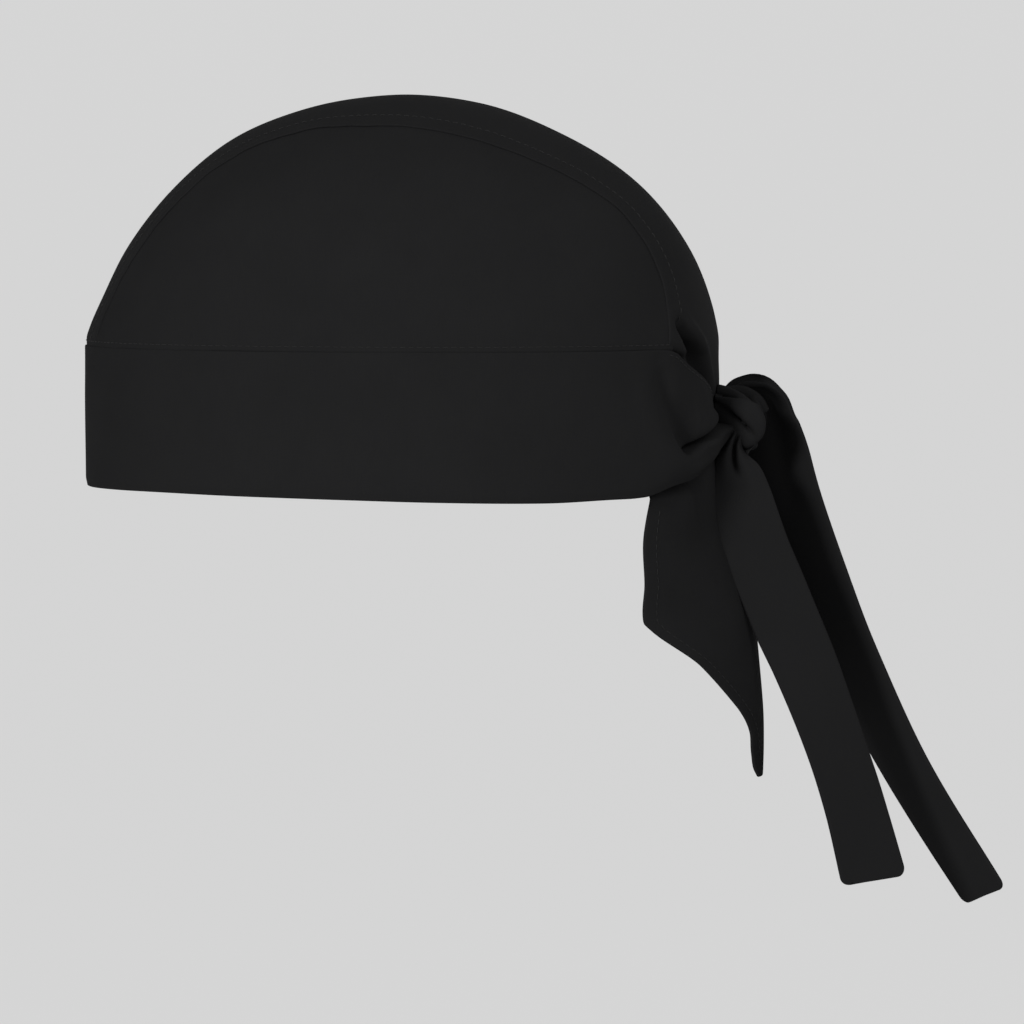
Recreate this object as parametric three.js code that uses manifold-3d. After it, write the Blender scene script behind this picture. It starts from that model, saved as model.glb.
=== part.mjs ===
// A bandana cap of thin black cotton, tied behind the head.
// Millimetres, +Z up. The origin is the centre of the head opening, in the plane of the rim.
// The forehead is towards -Y, the knot towards +Y and the wearer's left towards +X.
// A band runs round the head, two side panels and a centre panel close the crown over it,
// the centre panel hangs out behind as a pointed tail, and the ends of the band are gathered,
// knotted over that tail and left hanging as two ties.

import * as THREE from 'three';
import { mergeVertices } from 'three/addons/utils/BufferGeometryUtils.js';
import Module from 'manifold-3d';

const wasm = await Module();
wasm.setup();

// Head opening, an oval that is blunter at the nape than at the forehead. The powers are those
// of superellipses: 2 is an ellipse, and more is squarer.
const openingLength = 204;
const openingWidth = 158;
const widestBehindMiddle = 8;
const foreheadPower = 2.1;
const napePower = 2.3;

// Heights of the band and of the crown above it
const bandHeight = 46;
const crownRise = 80;
const crownPower = 1.95;

// Cloth walls, and the gaps that pieces keep where they are sewn and where the ties leave the knot
const panelWall = 1.5;
const bandWall = 2;
const tieWall = 2;
const seamGap = 0.3;
const knotGap = 0.5;

// The band's rim turns in a little, and its ends are gathered behind the head. The rolled strand
// and the pouch are arcs, whose spans are shares of a half wave.
const rimTurn = 1.4;
const rimTurnHeight = 4;
const gatherLength = 47;
const gatherDepth = 6;
const rollSpan = 0.85;
const puffSpan = 0.9;
const bandEndSpacing = 26;

// Centre panel: a strip over the crown, a tail below the rim
const stripWidth = 82;
const tailWidth = 116;
const tailSideDrop = 40;
const tailTipDrop = 93;
const tailTipWidth = 3;
const tailStand = 14.5;
const tuckUnderBand = 0.08;

// Knot: it fills the space between the band's ends
const knotReach = 15;
const knotHeight = 20;
const knotAboveRim = 22;
const wrapBreadth = 9;
const wrapDepth = 5;
const hoodBreadth = 15;
const hoodDepth = 7.5;
const passBreadth = 9;
const passDepth = 7;

// Ties
const tieWidth = 22;
const tieCorner = 3;
const leftTieDrop = 138.5;
const leftTieReach = 43.5;
const rightTieDrop = 164;
const rightTieReach = 80.6;

const halfLength = openingLength / 2;
const halfWidth = openingWidth / 2;
const halfStrip = stripWidth / 2;
const halfTail = tailWidth / 2;
const halfKnot = bandEndSpacing / 2 - seamGap;

// Crown outline from the side. along: way from forehead to nape, as a share of a half turn.
// rise: share of crownRise.
const crownOutline = [
  { along: 0.0, rise: 0.0 },
  { along: 0.05, rise: 0.045 },
  { along: 0.1, rise: 0.14 },
  { along: 0.17, rise: 0.385 },
  { along: 0.245, rise: 0.625 },
  { along: 0.33, rise: 0.83 },
  { along: 0.4, rise: 0.928 },
  { along: 0.51, rise: 1.0 },
  { along: 0.58, rise: 0.965 },
  { along: 0.667, rise: 0.835 },
  { along: 0.772, rise: 0.625 },
  { along: 0.865, rise: 0.375 },
  { along: 0.93, rise: 0.195 },
  { along: 1.0, rise: 0.0 },
];

// Half width of the centre panel over the crown. half: share of half the stripWidth.
const stripEdge = [
  { along: 0.0, half: 0.75 },
  { along: 0.12, half: 0.73 },
  { along: 0.22, half: 0.77 },
  { along: 0.32, half: 0.765 },
  { along: 0.4, half: 0.81 },
  { along: 0.5, half: 0.94 },
  { along: 0.57, half: 0.985 },
  { along: 0.72, half: 0.965 },
  { along: 0.8, half: 0.935 },
  { along: 0.87, half: 0.99 },
  { along: 0.95, half: 1.085 },
  { along: 1.0, half: 1.1 },
];

// The panel behind the head. leg: 0 at the top of the band, 1 at the rim, 2 at the tail's
// corners, 3 at its tip. stand: how far it hangs out behind the opening, a share of tailStand.
// half: share of half the tailWidth. curl: how much its sides wrap forwards.
const napeSections = [
  { leg: 0.0, stand: 0.0, half: 0.8, curl: 0.5 },
  { leg: 0.1, stand: -0.02, half: 0.82, curl: 0.65 },
  { leg: 0.27, stand: -0.05, half: 0.84, curl: 0.67 },
  { leg: 0.5, stand: -0.16, half: 0.86, curl: 0.68 },
  { leg: 0.8, stand: -0.12, half: 0.87, curl: 0.68 },
  { leg: 1.0, stand: 0.0, half: 0.885, curl: 0.68 },
  { leg: 1.32, stand: 0.22, half: 0.945, curl: 0.8 },
  { leg: 1.68, stand: 0.58, half: 0.97, curl: 1.02 },
  { leg: 2.0, stand: 0.83, half: 1.0, curl: 1.2 },
  { leg: 2.25, stand: 0.93, half: 0.72, curl: 0.88 },
  { leg: 2.5, stand: 0.98, half: 0.47, curl: 0.7 },
  { leg: 3.0, stand: 0.92, half: 0.0, curl: 0.9 },
];

// The band's gathered end. along: share of gatherLength. top, fold, foot: heights of the free
// edge, of the deep fold and of the lower edge, shares of bandHeight. stand, puff, roll: how far
// the fold, the pouch above it and the rolled strand below it stand out, shares of gatherDepth.
const gatherSections = [
  { along: 0.0, top: 1.0, fold: 0.42, foot: 0.0, stand: 0.0, puff: 0.0, roll: 0.0 },
  { along: 0.15, top: 1.0, fold: 0.44, foot: 0.05, stand: 0.0, puff: 0.08, roll: 0.05 },
  { along: 0.22, top: 0.98, fold: 0.43, foot: 0.07, stand: 0.03, puff: 0.2, roll: 0.08 },
  { along: 0.28, top: 0.945, fold: 0.42, foot: 0.08, stand: 0.06, puff: 0.35, roll: 0.12 },
  { along: 0.36, top: 0.92, fold: 0.39, foot: 0.09, stand: 0.08, puff: 0.5, roll: 0.2 },
  { along: 0.5, top: 0.86, fold: 0.34, foot: 0.115, stand: 0.1, puff: 0.75, roll: 0.45 },
  { along: 0.65, top: 0.78, fold: 0.36, foot: 0.15, stand: 0.12, puff: 0.75, roll: 0.65 },
  { along: 0.82, top: 0.68, fold: 0.43, foot: 0.21, stand: 0.16, puff: 0.5, roll: 0.75 },
  { along: 1.0, top: 0.54, fold: 0.45, foot: 0.27, stand: 0.2, puff: 0.15, roll: 0.6 },
];

// Strands of the knot. aside, behind, above: shares of halfKnot, of the knotReach and of half
// the knotHeight, from the middle of the knot's seat on the tail. The knotCore's are half sizes.
const wrapStrand = [
  { aside: 0.35, behind: 0.12, above: 0.5 },
  { aside: 0.85, behind: 0.26, above: 0.22 },
  { aside: 0.96, behind: 0.48, above: -0.14 },
  { aside: 0.7, behind: 0.68, above: -0.46 },
  { aside: 0.1, behind: 0.7, above: -0.6 },
];
const hoodStrand = [
  { aside: 0.2, behind: 0.1, above: 0.5 },
  { aside: 0.3, behind: 0.38, above: 0.44 },
  { aside: 0.28, behind: 0.58, above: 0.22 },
  { aside: 0.24, behind: 0.63, above: -0.1 },
  { aside: 0.2, behind: 0.54, above: -0.46 },
];
const leftStrand = [
  { aside: 1.0, behind: 0.14, above: -0.3 },
  { aside: 0.8, behind: 0.14, above: -0.3 },
  { aside: 0.55, behind: 0.36, above: -0.34 },
  { aside: 0.6, behind: 0.46, above: -0.8 },
];
const rightStrand = [
  { aside: -1.0, behind: 0.14, above: -0.3 },
  { aside: -0.8, behind: 0.14, above: -0.3 },
  { aside: -0.5, behind: 0.34, above: 0.2 },
  { aside: -0.5, behind: 0.44, above: 0.78 },
];
const backStrand = [
  { aside: -0.5, behind: 0.2, above: 0.4 },
  { aside: -0.85, behind: 0.5, above: -0.1 },
  { aside: -0.4, behind: 0.62, above: -0.45 },
  { aside: 0.3, behind: 0.56, above: -0.5 },
];
const knotMiddle = { aside: 0, behind: 0.5, above: 0 };
const knotCore = { aside: 0.62, behind: 0.36, above: 0.6 };

// Ties from the knot to their free ends. behind, below: shares of the tie's own reach and drop.
// aside: share of halfKnot. turn: degrees that the broad side turns away from +X.
// width, pleat, plump: breadth, depth of the pleats and extra thickness where the knot bunches
// the cloth, shares of tieWidth.
const leftTieSections = [
  { behind: -0.01, below: 0.0, aside: 0.62, turn: 0, width: 0.28, pleat: 0.0, plump: 0.12 },
  { behind: -0.01, below: 0.015, aside: 0.74, turn: -6, width: 0.42, pleat: 0.02, plump: 0.1 },
  { behind: 0.0, below: 0.048, aside: 0.92, turn: -14, width: 0.74, pleat: 0.05, plump: 0.04 },
  { behind: 0.025, below: 0.1, aside: 1.08, turn: -18, width: 0.92, pleat: 0.05, plump: 0.0 },
  { behind: 0.094, below: 0.19, aside: 1.24, turn: -20, width: 1.0, pleat: 0.01, plump: 0.0 },
  { behind: 0.195, below: 0.277, aside: 1.22, turn: -18, width: 1.02, pleat: 0.0, plump: 0.0 },
  { behind: 0.416, below: 0.446, aside: 1.1, turn: -20, width: 1.0, pleat: 0.0, plump: 0.0 },
  { behind: 0.639, below: 0.626, aside: 1.06, turn: -29, width: 1.0, pleat: 0.0, plump: 0.0 },
  { behind: 0.756, below: 0.716, aside: 1.06, turn: -33, width: 1.0, pleat: 0.0, plump: 0.0 },
  { behind: 0.931, below: 0.896, aside: 1.08, turn: -30, width: 1.0, pleat: 0.0, plump: 0.0 },
  { behind: 1.0, below: 1.0, aside: 1.1, turn: -26, width: 1.0, pleat: 0.0, plump: 0.0 },
];
const rightTieSections = [
  { behind: 0.0, below: 0.0, aside: -0.5, turn: 62, width: 0.34, pleat: 0.0, plump: 0.16 },
  { behind: 0.012, below: -0.01, aside: -0.54, turn: 62, width: 0.36, pleat: 0.0, plump: 0.18 },
  { behind: 0.038, below: -0.02, aside: -0.6, turn: 60, width: 0.4, pleat: 0.0, plump: 0.18 },
  { behind: 0.08, below: -0.016, aside: -0.66, turn: 52, width: 0.5, pleat: 0.0, plump: 0.12 },
  { behind: 0.112, below: 0.014, aside: -0.74, turn: 42, width: 0.64, pleat: 0.02, plump: 0.06 },
  { behind: 0.13, below: 0.058, aside: -0.84, turn: 34, width: 0.84, pleat: 0.02, plump: 0.02 },
  { behind: 0.162, below: 0.13, aside: -0.96, turn: 27, width: 0.97, pleat: 0.0, plump: 0.0 },
  { behind: 0.208, below: 0.22, aside: -1.06, turn: 26, width: 1.0, pleat: 0.0, plump: 0.0 },
  { behind: 0.378, below: 0.438, aside: -1.2, turn: 34, width: 1.0, pleat: 0.0, plump: 0.0 },
  { behind: 0.478, below: 0.562, aside: -1.3, turn: 39, width: 1.0, pleat: 0.0, plump: 0.0 },
  { behind: 0.676, below: 0.75, aside: -1.44, turn: 48, width: 1.0, pleat: 0.0, plump: 0.0 },
  { behind: 1.0, below: 1.0, aside: -1.6, turn: 50, width: 1.0, pleat: 0.0, plump: 0.0 },
];

// Numbers of steps in the meshes
const steps = { stripRows: 26, stripColumns: 10, tailRows: 17, panelColumns: 30, panelRows: 8 };
const legsUnderBand = [tuckUnderBand / 2, tuckUnderBand, 0.15, 0.25, 0.4, 0.55, 0.7, 0.85, 1];
const bandSteps = { plain: 15, gather: 12, below: 4, above: 5, rimLevel: 0.16 };
const tieSteps = { along: 26, across: 7, crowding: 1.35 };
const strandSteps = { along: 12, around: 12 };
const coreSteps = { around: 14, high: 9 };
const ovalSamples = 720;

// Reads one column of a table at any place, along a smooth curve that doesn't overshoot.
function readTable(rows, key, column, at) {
  const last = rows.length - 1;
  const place = THREE.MathUtils.clamp(at, rows[0][key], rows[last][key]);
  let i = 0;
  while (i < last - 1 && place > rows[i + 1][key]) i += 1;
  const slopeBetween = (j) => (rows[j + 1][column] - rows[j][column]) / (rows[j + 1][key] - rows[j][key]);
  const slopeAt = (j) => {
    if (j === 0) return slopeBetween(0);
    if (j === last) return slopeBetween(last - 1);
    const before = slopeBetween(j - 1);
    const after = slopeBetween(j);
    return before * after <= 0 ? 0 : (2 * before * after) / (before + after);
  };
  const span = rows[i + 1][key] - rows[i][key];
  const t = (place - rows[i][key]) / span;
  const start = (1 + 2 * t) * (1 - t) * (1 - t) * rows[i][column];
  const end = t * t * (3 - 2 * t) * rows[i + 1][column];
  const startSlope = t * (1 - t) * (1 - t) * span * slopeAt(i);
  const endSlope = t * t * (t - 1) * span * slopeAt(i + 1);
  return start + end + startSlope + endSlope;
}

// One quarter of a superellipse: 1 in the middle, 0 at the edge.
function roundOff(share, power) {
  return (1 - Math.min(Math.abs(share), 1) ** power) ** (1 / power);
}

// Front and back of the head opening at a distance aside from the middle.
function openingFront(aside) {
  return widestBehindMiddle - (halfLength + widestBehindMiddle) * roundOff(aside / halfWidth, foreheadPower);
}

function openingBack(aside) {
  return widestBehindMiddle + (halfLength - widestBehindMiddle) * roundOff(aside / halfWidth, napePower);
}

// A point of the crown, aside from the middle and along from forehead (0) to nape (1).
function crownPoint(aside, along) {
  const front = openingFront(aside);
  const back = openingBack(aside);
  const y = (front + back) / 2 - ((back - front) / 2) * Math.cos(Math.PI * along);
  const rise = crownRise * readTable(crownOutline, 'along', 'rise', along);
  const z = bandHeight + seamGap + rise * roundOff(aside / halfWidth, crownPower);
  return new THREE.Vector3(aside, y, z);
}

// The crown over a place in plan, as the share along that it lies at.
function crownAlong(aside, y) {
  const front = openingFront(aside);
  const back = openingBack(aside);
  const share = THREE.MathUtils.clamp((y - (front + back) / 2) / ((back - front) / 2), -1, 1);
  return Math.acos(-share) / Math.PI;
}

// The same place on the inner side of the crown's wall.
function underCrown(aside, along) {
  const step = 0.002;
  const next = crownPoint(aside, Math.min(along + step, 1));
  const ahead = next.sub(crownPoint(aside, Math.max(along - step, 0)));
  const over = crownPoint(aside + step, along).sub(crownPoint(aside - step, along));
  const point = crownPoint(aside, along).addScaledVector(over.cross(ahead).normalize(), -panelWall);
  if (along < step || along > 1 - step) point.z = bandHeight + seamGap;
  return point;
}

function stripHalfWidth(along) {
  return halfStrip * readTable(stripEdge, 'along', 'half', along);
}

// The head opening as a path: places along it are distances from the middle of the forehead.
const openingPath = [];
for (let i = 0; i <= ovalSamples; i += 1) {
  const angle = (Math.PI * i) / ovalSamples;
  const power = angle < Math.PI / 2 ? foreheadPower : napePower;
  const aside = halfWidth * Math.sin(angle) ** (2 / power);
  const y = angle < Math.PI / 2 ? openingFront(aside) : openingBack(aside);
  const before = openingPath[i - 1];
  const length = before ? before.length + Math.hypot(aside - before.aside, y - before.y) : 0;
  openingPath.push({ aside, y, length });
}
const halfRound = openingPath[ovalSamples].length;

// A point of that path and the direction that points out of the head, on the +X side.
function openingAt(distance) {
  let low = 0;
  let high = ovalSamples;
  while (high - low > 1) {
    const middle = (low + high) >> 1;
    if (openingPath[middle].length <= distance) low = middle;
    else high = middle;
  }
  const a = openingPath[low];
  const b = openingPath[high];
  const t = (distance - a.length) / (b.length - a.length);
  const before = openingPath[Math.max(low - 4, 0)];
  const after = openingPath[Math.min(high + 4, ovalSamples)];
  const out = new THREE.Vector2(after.y - before.y, before.aside - after.aside).normalize();
  return { aside: a.aside + (b.aside - a.aside) * t, y: a.y + (b.y - a.y) * t, out };
}

// Distance along the path to the place in its front or back half that lies so far aside.
function openingDistance(aside, isBack) {
  const half = openingPath.filter((p, i) => (i > ovalSamples / 2) === isBack);
  const gap = (p) => Math.abs(p.aside - aside);
  const nearest = half.reduce((best, p) => (gap(p) < gap(best) ? p : best));
  return nearest.length;
}

// A closed body between two grids of points, rows by columns, the first one outside.
// Triangles that shrink to a line, as in the corners of a panel, are left out.
function bodyBetween(outer, inner) {
  const rows = outer.length;
  const columns = outer[0].length;
  const points = [...outer.flat(), ...inner.flat()];
  const at = (side, row, column) => (side * rows + row) * columns + column;
  const positions = [];
  const addTriangle = (a, b, c) => {
    const corners = [a, b, c].map((i) => points[i]);
    const shortest = Math.min(corners[0].distanceTo(corners[1]), corners[1].distanceTo(corners[2]),
      corners[2].distanceTo(corners[0]));
    if (shortest > 1e-3) positions.push(...corners.flatMap((p) => p.toArray()));
  };
  const addQuad = (a, b, c, d) => {
    addTriangle(a, b, c);
    addTriangle(a, c, d);
  };
  for (let r = 0; r < rows - 1; r += 1) {
    for (let c = 0; c < columns - 1; c += 1) {
      addQuad(at(0, r, c), at(0, r, c + 1), at(0, r + 1, c + 1), at(0, r + 1, c));
      addQuad(at(1, r, c), at(1, r + 1, c), at(1, r + 1, c + 1), at(1, r, c + 1));
    }
    addQuad(at(0, r, 0), at(0, r + 1, 0), at(1, r + 1, 0), at(1, r, 0));
    const end = columns - 1;
    addQuad(at(0, r, end), at(1, r, end), at(1, r + 1, end), at(0, r + 1, end));
  }
  for (let c = 0; c < columns - 1; c += 1) {
    addQuad(at(0, 0, c), at(1, 0, c), at(1, 0, c + 1), at(0, 0, c + 1));
    const end = rows - 1;
    addQuad(at(0, end, c), at(0, end, c + 1), at(1, end, c + 1), at(1, end, c));
  }
  const geometry = new THREE.BufferGeometry();
  geometry.setAttribute('position', new THREE.Float32BufferAttribute(positions, 3));
  return mergeVertices(geometry, 1e-3);
}

// The inner side of a wall: the outer grid moved in by its thickness.
function innerSide(outer, thickness) {
  const rows = outer.length;
  const columns = outer[0].length;
  const normalAt = (r, c) => {
    const up = outer[Math.min(r + 1, rows - 1)][c].clone().sub(outer[Math.max(r - 1, 0)][c]);
    const over = outer[r][Math.min(c + 1, columns - 1)].clone().sub(outer[r][Math.max(c - 1, 0)]);
    return over.cross(up);
  };
  return outer.map((row, r) => row.map((point, c) => {
    let normal = normalAt(r, c);
    if (normal.length() < 1e-3) normal = normalAt(r, c === 0 ? 1 : columns - 2);
    return point.clone().addScaledVector(normal.normalize(), -thickness);
  }));
}

function shareOf(index, count) {
  return index / count;
}

// Arc length of the curl y = -k x^2 from the middle out to x, and the x of a given arc length.
function curlLength(x, k) {
  const slope = 2 * k * x;
  return (x / 2) * Math.sqrt(1 + slope * slope) + Math.asinh(slope) / (4 * k);
}

function curlAside(length, k) {
  let x = Math.abs(length);
  for (let i = 0; i < 8; i += 1) x -= (curlLength(x, k) - Math.abs(length)) / Math.hypot(1, 2 * k * x);
  return Math.sign(length) * x;
}

// Height of a place on the panel behind the head, by its leg.
function napeHeight(leg) {
  if (leg < 1) return (bandHeight + seamGap) * (1 - leg);
  if (leg < 2) return -tailSideDrop * (leg - 1);
  return -tailSideDrop - (tailTipDrop - tailSideDrop) * (leg - 2);
}

function napePoint(share, leg) {
  const atSeam = stripHalfWidth(1);
  const k = readTable(napeSections, 'leg', 'curl', leg) / halfWidth;
  const stand = tailStand * readTable(napeSections, 'leg', 'stand', leg);
  const wanted = Math.max(halfTail * readTable(napeSections, 'leg', 'half', leg), tailTipWidth / 2);
  const loose = THREE.MathUtils.smoothstep(leg, 0, tuckUnderBand);
  const half = leg < 1 ? THREE.MathUtils.lerp(curlLength(atSeam, k), wanted, leg) : wanted;
  const aside = THREE.MathUtils.lerp(share * atSeam, curlAside(share * half, k), loose);
  const hanging = halfLength + stand - k * aside * aside;
  const y = THREE.MathUtils.lerp(openingBack(aside), hanging, loose);
  return new THREE.Vector3(aside, y, napeHeight(leg));
}

function centrePanel() {
  const legs = [...legsUnderBand];
  for (let i = 1; i <= steps.tailRows; i += 1) legs.push(1 + 2 * shareOf(i, steps.tailRows));
  const shares = [];
  for (let c = 0; c <= steps.stripColumns; c += 1) shares.push(2 * shareOf(c, steps.stripColumns) - 1);
  const crownRows = [];
  for (let r = 0; r <= steps.stripRows; r += 1) crownRows.push(shareOf(r, steps.stripRows));
  const outer = [
    ...crownRows.map((along) => shares.map((share) => crownPoint(share * stripHalfWidth(along), along))),
    ...legs.map((leg) => shares.map((share) => napePoint(share, leg))),
  ];
  const inner = innerSide(outer, panelWall);
  crownRows.forEach((along, r) => {
    inner[r] = shares.map((share) => underCrown(share * stripHalfWidth(along), along));
  });
  return bodyBetween(outer, inner);
}

// A side panel, from the band's seam up to the centre panel's edge. side: 1 left, -1 right.
function sidePanel(side) {
  const edge = (along) => crownPoint(stripHalfWidth(along) + seamGap, along);
  const lengths = [0];
  const samples = 200;
  for (let i = 1; i <= samples; i += 1) {
    lengths.push(lengths[i - 1] + edge(shareOf(i, samples)).distanceTo(edge(shareOf(i - 1, samples))));
  }
  const edgeAt = (share) => {
    const wanted = share * lengths[samples];
    const i = Math.min(lengths.findIndex((length) => length >= wanted - 1e-9), samples);
    const t = i > 0 ? (wanted - lengths[i - 1]) / (lengths[i] - lengths[i - 1]) : 0;
    return edge((Math.max(i - 1, 0) + t) / samples);
  };
  const start = openingDistance(stripHalfWidth(0) + seamGap, false);
  const end = openingDistance(stripHalfWidth(1) + seamGap, true);
  const outer = [];
  const inner = [];
  for (let r = 0; r <= steps.panelRows; r += 1) {
    const climb = 1 - Math.cos((Math.PI / 2) * shareOf(r, steps.panelRows));
    const rowOut = [];
    const rowIn = [];
    for (let c = 0; c <= steps.panelColumns; c += 1) {
      const share = shareOf(c, steps.panelColumns);
      const foot = openingAt(start + (end - start) * share);
      const head = edgeAt(share);
      const corner = c === 0 || c === steps.panelColumns;
      if (r === 0 || corner) {
        const wall = new THREE.Vector3(foot.out.x, foot.out.y, 0).multiplyScalar(-panelWall);
        rowOut.push(new THREE.Vector3(foot.aside, foot.y, bandHeight + seamGap));
        rowIn.push(rowOut[c].clone().add(wall));
      } else {
        const aside = THREE.MathUtils.lerp(foot.aside, head.x, climb);
        const along = crownAlong(aside, THREE.MathUtils.lerp(foot.y, head.y, climb));
        rowOut.push(crownPoint(aside, along));
        rowIn.push(underCrown(aside, along));
      }
    }
    outer.push(rowOut);
    inner.push(rowIn);
  }
  if (side < 0) {
    [outer, inner].forEach((grid) => grid.forEach((row) => {
      row.forEach((point) => { point.x = -point.x; });
      row.reverse();
    }));
  }
  return bodyBetween(outer, inner);
}

// A point of the band on the +X side: so far round from the forehead, at a level from 0 at its
// lower edge, through 1 at the deep fold, to 2 at its upper edge.
function bandPoint(distance, level, clearance) {
  const end = halfRound - bandEndSpacing / 2;
  const gathered = (distance - (end - gatherLength)) / gatherLength;
  const read = (column) => readTable(gatherSections, 'along', column, gathered);
  const foot = bandHeight * read('foot');
  const fold = bandHeight * read('fold');
  const top = bandHeight * read('top');
  const below = level < 1;
  const z = below ? THREE.MathUtils.lerp(foot, fold, level) : THREE.MathUtils.lerp(fold, top, level - 1);
  const bulge = below
    ? read('roll') * Math.sin(Math.PI * rollSpan * (1 - level))
    : read('puff') * Math.sin(Math.PI * puffSpan * (level - 1));
  const turned = rimTurn * (1 - THREE.MathUtils.smoothstep(z - foot, 0, rimTurnHeight));
  const stand = gatherDepth * (read('stand') + bulge) - turned + clearance;
  const { aside, y, out } = openingAt(distance);
  return new THREE.Vector3(aside + out.x * stand, y + out.y * stand, z);
}

// The band's wall. A clearance makes it thicker all over, to cut room for it in the knot.
function foreheadBand(clearance = 0) {
  const end = halfRound - bandEndSpacing / 2;
  const distances = [];
  for (let i = 0; i < bandSteps.plain; i += 1) {
    distances.push((end - gatherLength) * shareOf(i, bandSteps.plain));
  }
  for (let i = 0; i <= bandSteps.gather; i += 1) {
    distances.push(end - gatherLength * (1 - shareOf(i, bandSteps.gather)));
  }
  if (clearance > 0) distances.push(end + clearance);
  const levels = [0];
  for (let i = 1; i <= bandSteps.below; i += 1) levels.push(shareOf(i, bandSteps.below));
  for (let i = 1; i <= bandSteps.above; i += 1) levels.push(1 + shareOf(i, bandSteps.above));
  levels.splice(1, 0, bandSteps.rimLevel);
  const outer = levels.map((level) => {
    const left = distances.map((distance) => bandPoint(distance, level, clearance));
    const right = left.slice(1).map((point) => new THREE.Vector3(-point.x, point.y, point.z)).reverse();
    return [...right, ...left];
  });
  return bodyBetween(outer, innerSide(outer, bandWall + 2 * clearance));
}

// A place in the knot from a row of its table.
function knotPlace({ aside, behind, above }) {
  return new THREE.Vector3(
    aside * halfKnot,
    halfLength + behind * knotReach,
    knotAboveRim + (above * knotHeight) / 2,
  );
}

// A strand of bunched cloth: an oval section swept along a curve, broad across its path and
// flat towards the middle of the knot.
function strand(rows, breadth, depth) {
  const curve = new THREE.CatmullRomCurve3(rows.map(knotPlace));
  const middle = knotPlace(knotMiddle);
  const positions = [];
  const rings = [];
  for (let i = 0; i <= strandSteps.along; i += 1) {
    const share = shareOf(i, strandSteps.along);
    const centre = curve.getPointAt(share);
    const tangent = curve.getTangentAt(share);
    const outward = centre.clone().sub(middle);
    outward.addScaledVector(tangent, -outward.dot(tangent)).normalize();
    const across = tangent.clone().cross(outward);
    const ring = [];
    for (let k = 0; k < strandSteps.around; k += 1) {
      const angle = (2 * Math.PI * k) / strandSteps.around;
      const point = centre.clone().addScaledVector(across, (breadth / 2) * Math.cos(angle));
      ring.push(point.addScaledVector(outward, (depth / 2) * Math.sin(angle)));
    }
    rings.push({ centre, ring });
  }
  const add = (...corners) => positions.push(...corners.flatMap((p) => p.toArray()));
  for (let i = 0; i < rings.length - 1; i += 1) {
    for (let k = 0; k < strandSteps.around; k += 1) {
      const next = (k + 1) % strandSteps.around;
      const [a, b] = [rings[i].ring, rings[i + 1].ring];
      add(a[k], b[next], a[next]);
      add(a[k], b[k], b[next]);
    }
  }
  for (let k = 0; k < strandSteps.around; k += 1) {
    const next = (k + 1) % strandSteps.around;
    const [first, last] = [rings[0], rings[rings.length - 1]];
    add(first.centre, first.ring[k], first.ring[next]);
    add(last.centre, last.ring[next], last.ring[k]);
  }
  const geometry = new THREE.BufferGeometry();
  geometry.setAttribute('position', new THREE.Float32BufferAttribute(positions, 3));
  return solidOf(mergeVertices(geometry, 1e-3));
}

// Between three.js geometry and solids that can be joined and cut.
function solidOf(geometry) {
  return new wasm.Manifold(new wasm.Mesh({
    numProp: 3,
    vertProperties: new Float32Array(geometry.attributes.position.array),
    triVerts: new Uint32Array(geometry.index.array),
  }));
}

function geometryOf(solid) {
  const { vertProperties, triVerts } = solid.getMesh();
  const geometry = new THREE.BufferGeometry();
  geometry.setAttribute('position', new THREE.BufferAttribute(new Float32Array(vertProperties), 3));
  geometry.setIndex(new THREE.BufferAttribute(new Uint32Array(triVerts), 1));
  return geometry;
}

function knot(neighbours) {
  const core = new THREE.SphereGeometry(1, coreSteps.around, coreSteps.high);
  const middle = knotPlace(knotMiddle);
  core.scale(knotCore.aside * halfKnot, knotCore.behind * knotReach, (knotCore.above * knotHeight) / 2);
  core.translate(middle.x, middle.y, middle.z);
  core.deleteAttribute('normal');
  core.deleteAttribute('uv');
  const strands = [
    strand(hoodStrand, hoodBreadth, hoodDepth),
    strand(wrapStrand, wrapBreadth, wrapDepth),
    strand(leftStrand, passBreadth, passDepth),
    strand(rightStrand, passBreadth, passDepth),
    strand(backStrand, passBreadth, passDepth),
  ];
  const whole = strands.reduce((joined, next) => joined.add(next), solidOf(mergeVertices(core, 1e-3)));
  return geometryOf(neighbours.reduce((rest, next) => rest.subtract(solidOf(next)), whole));
}

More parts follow.
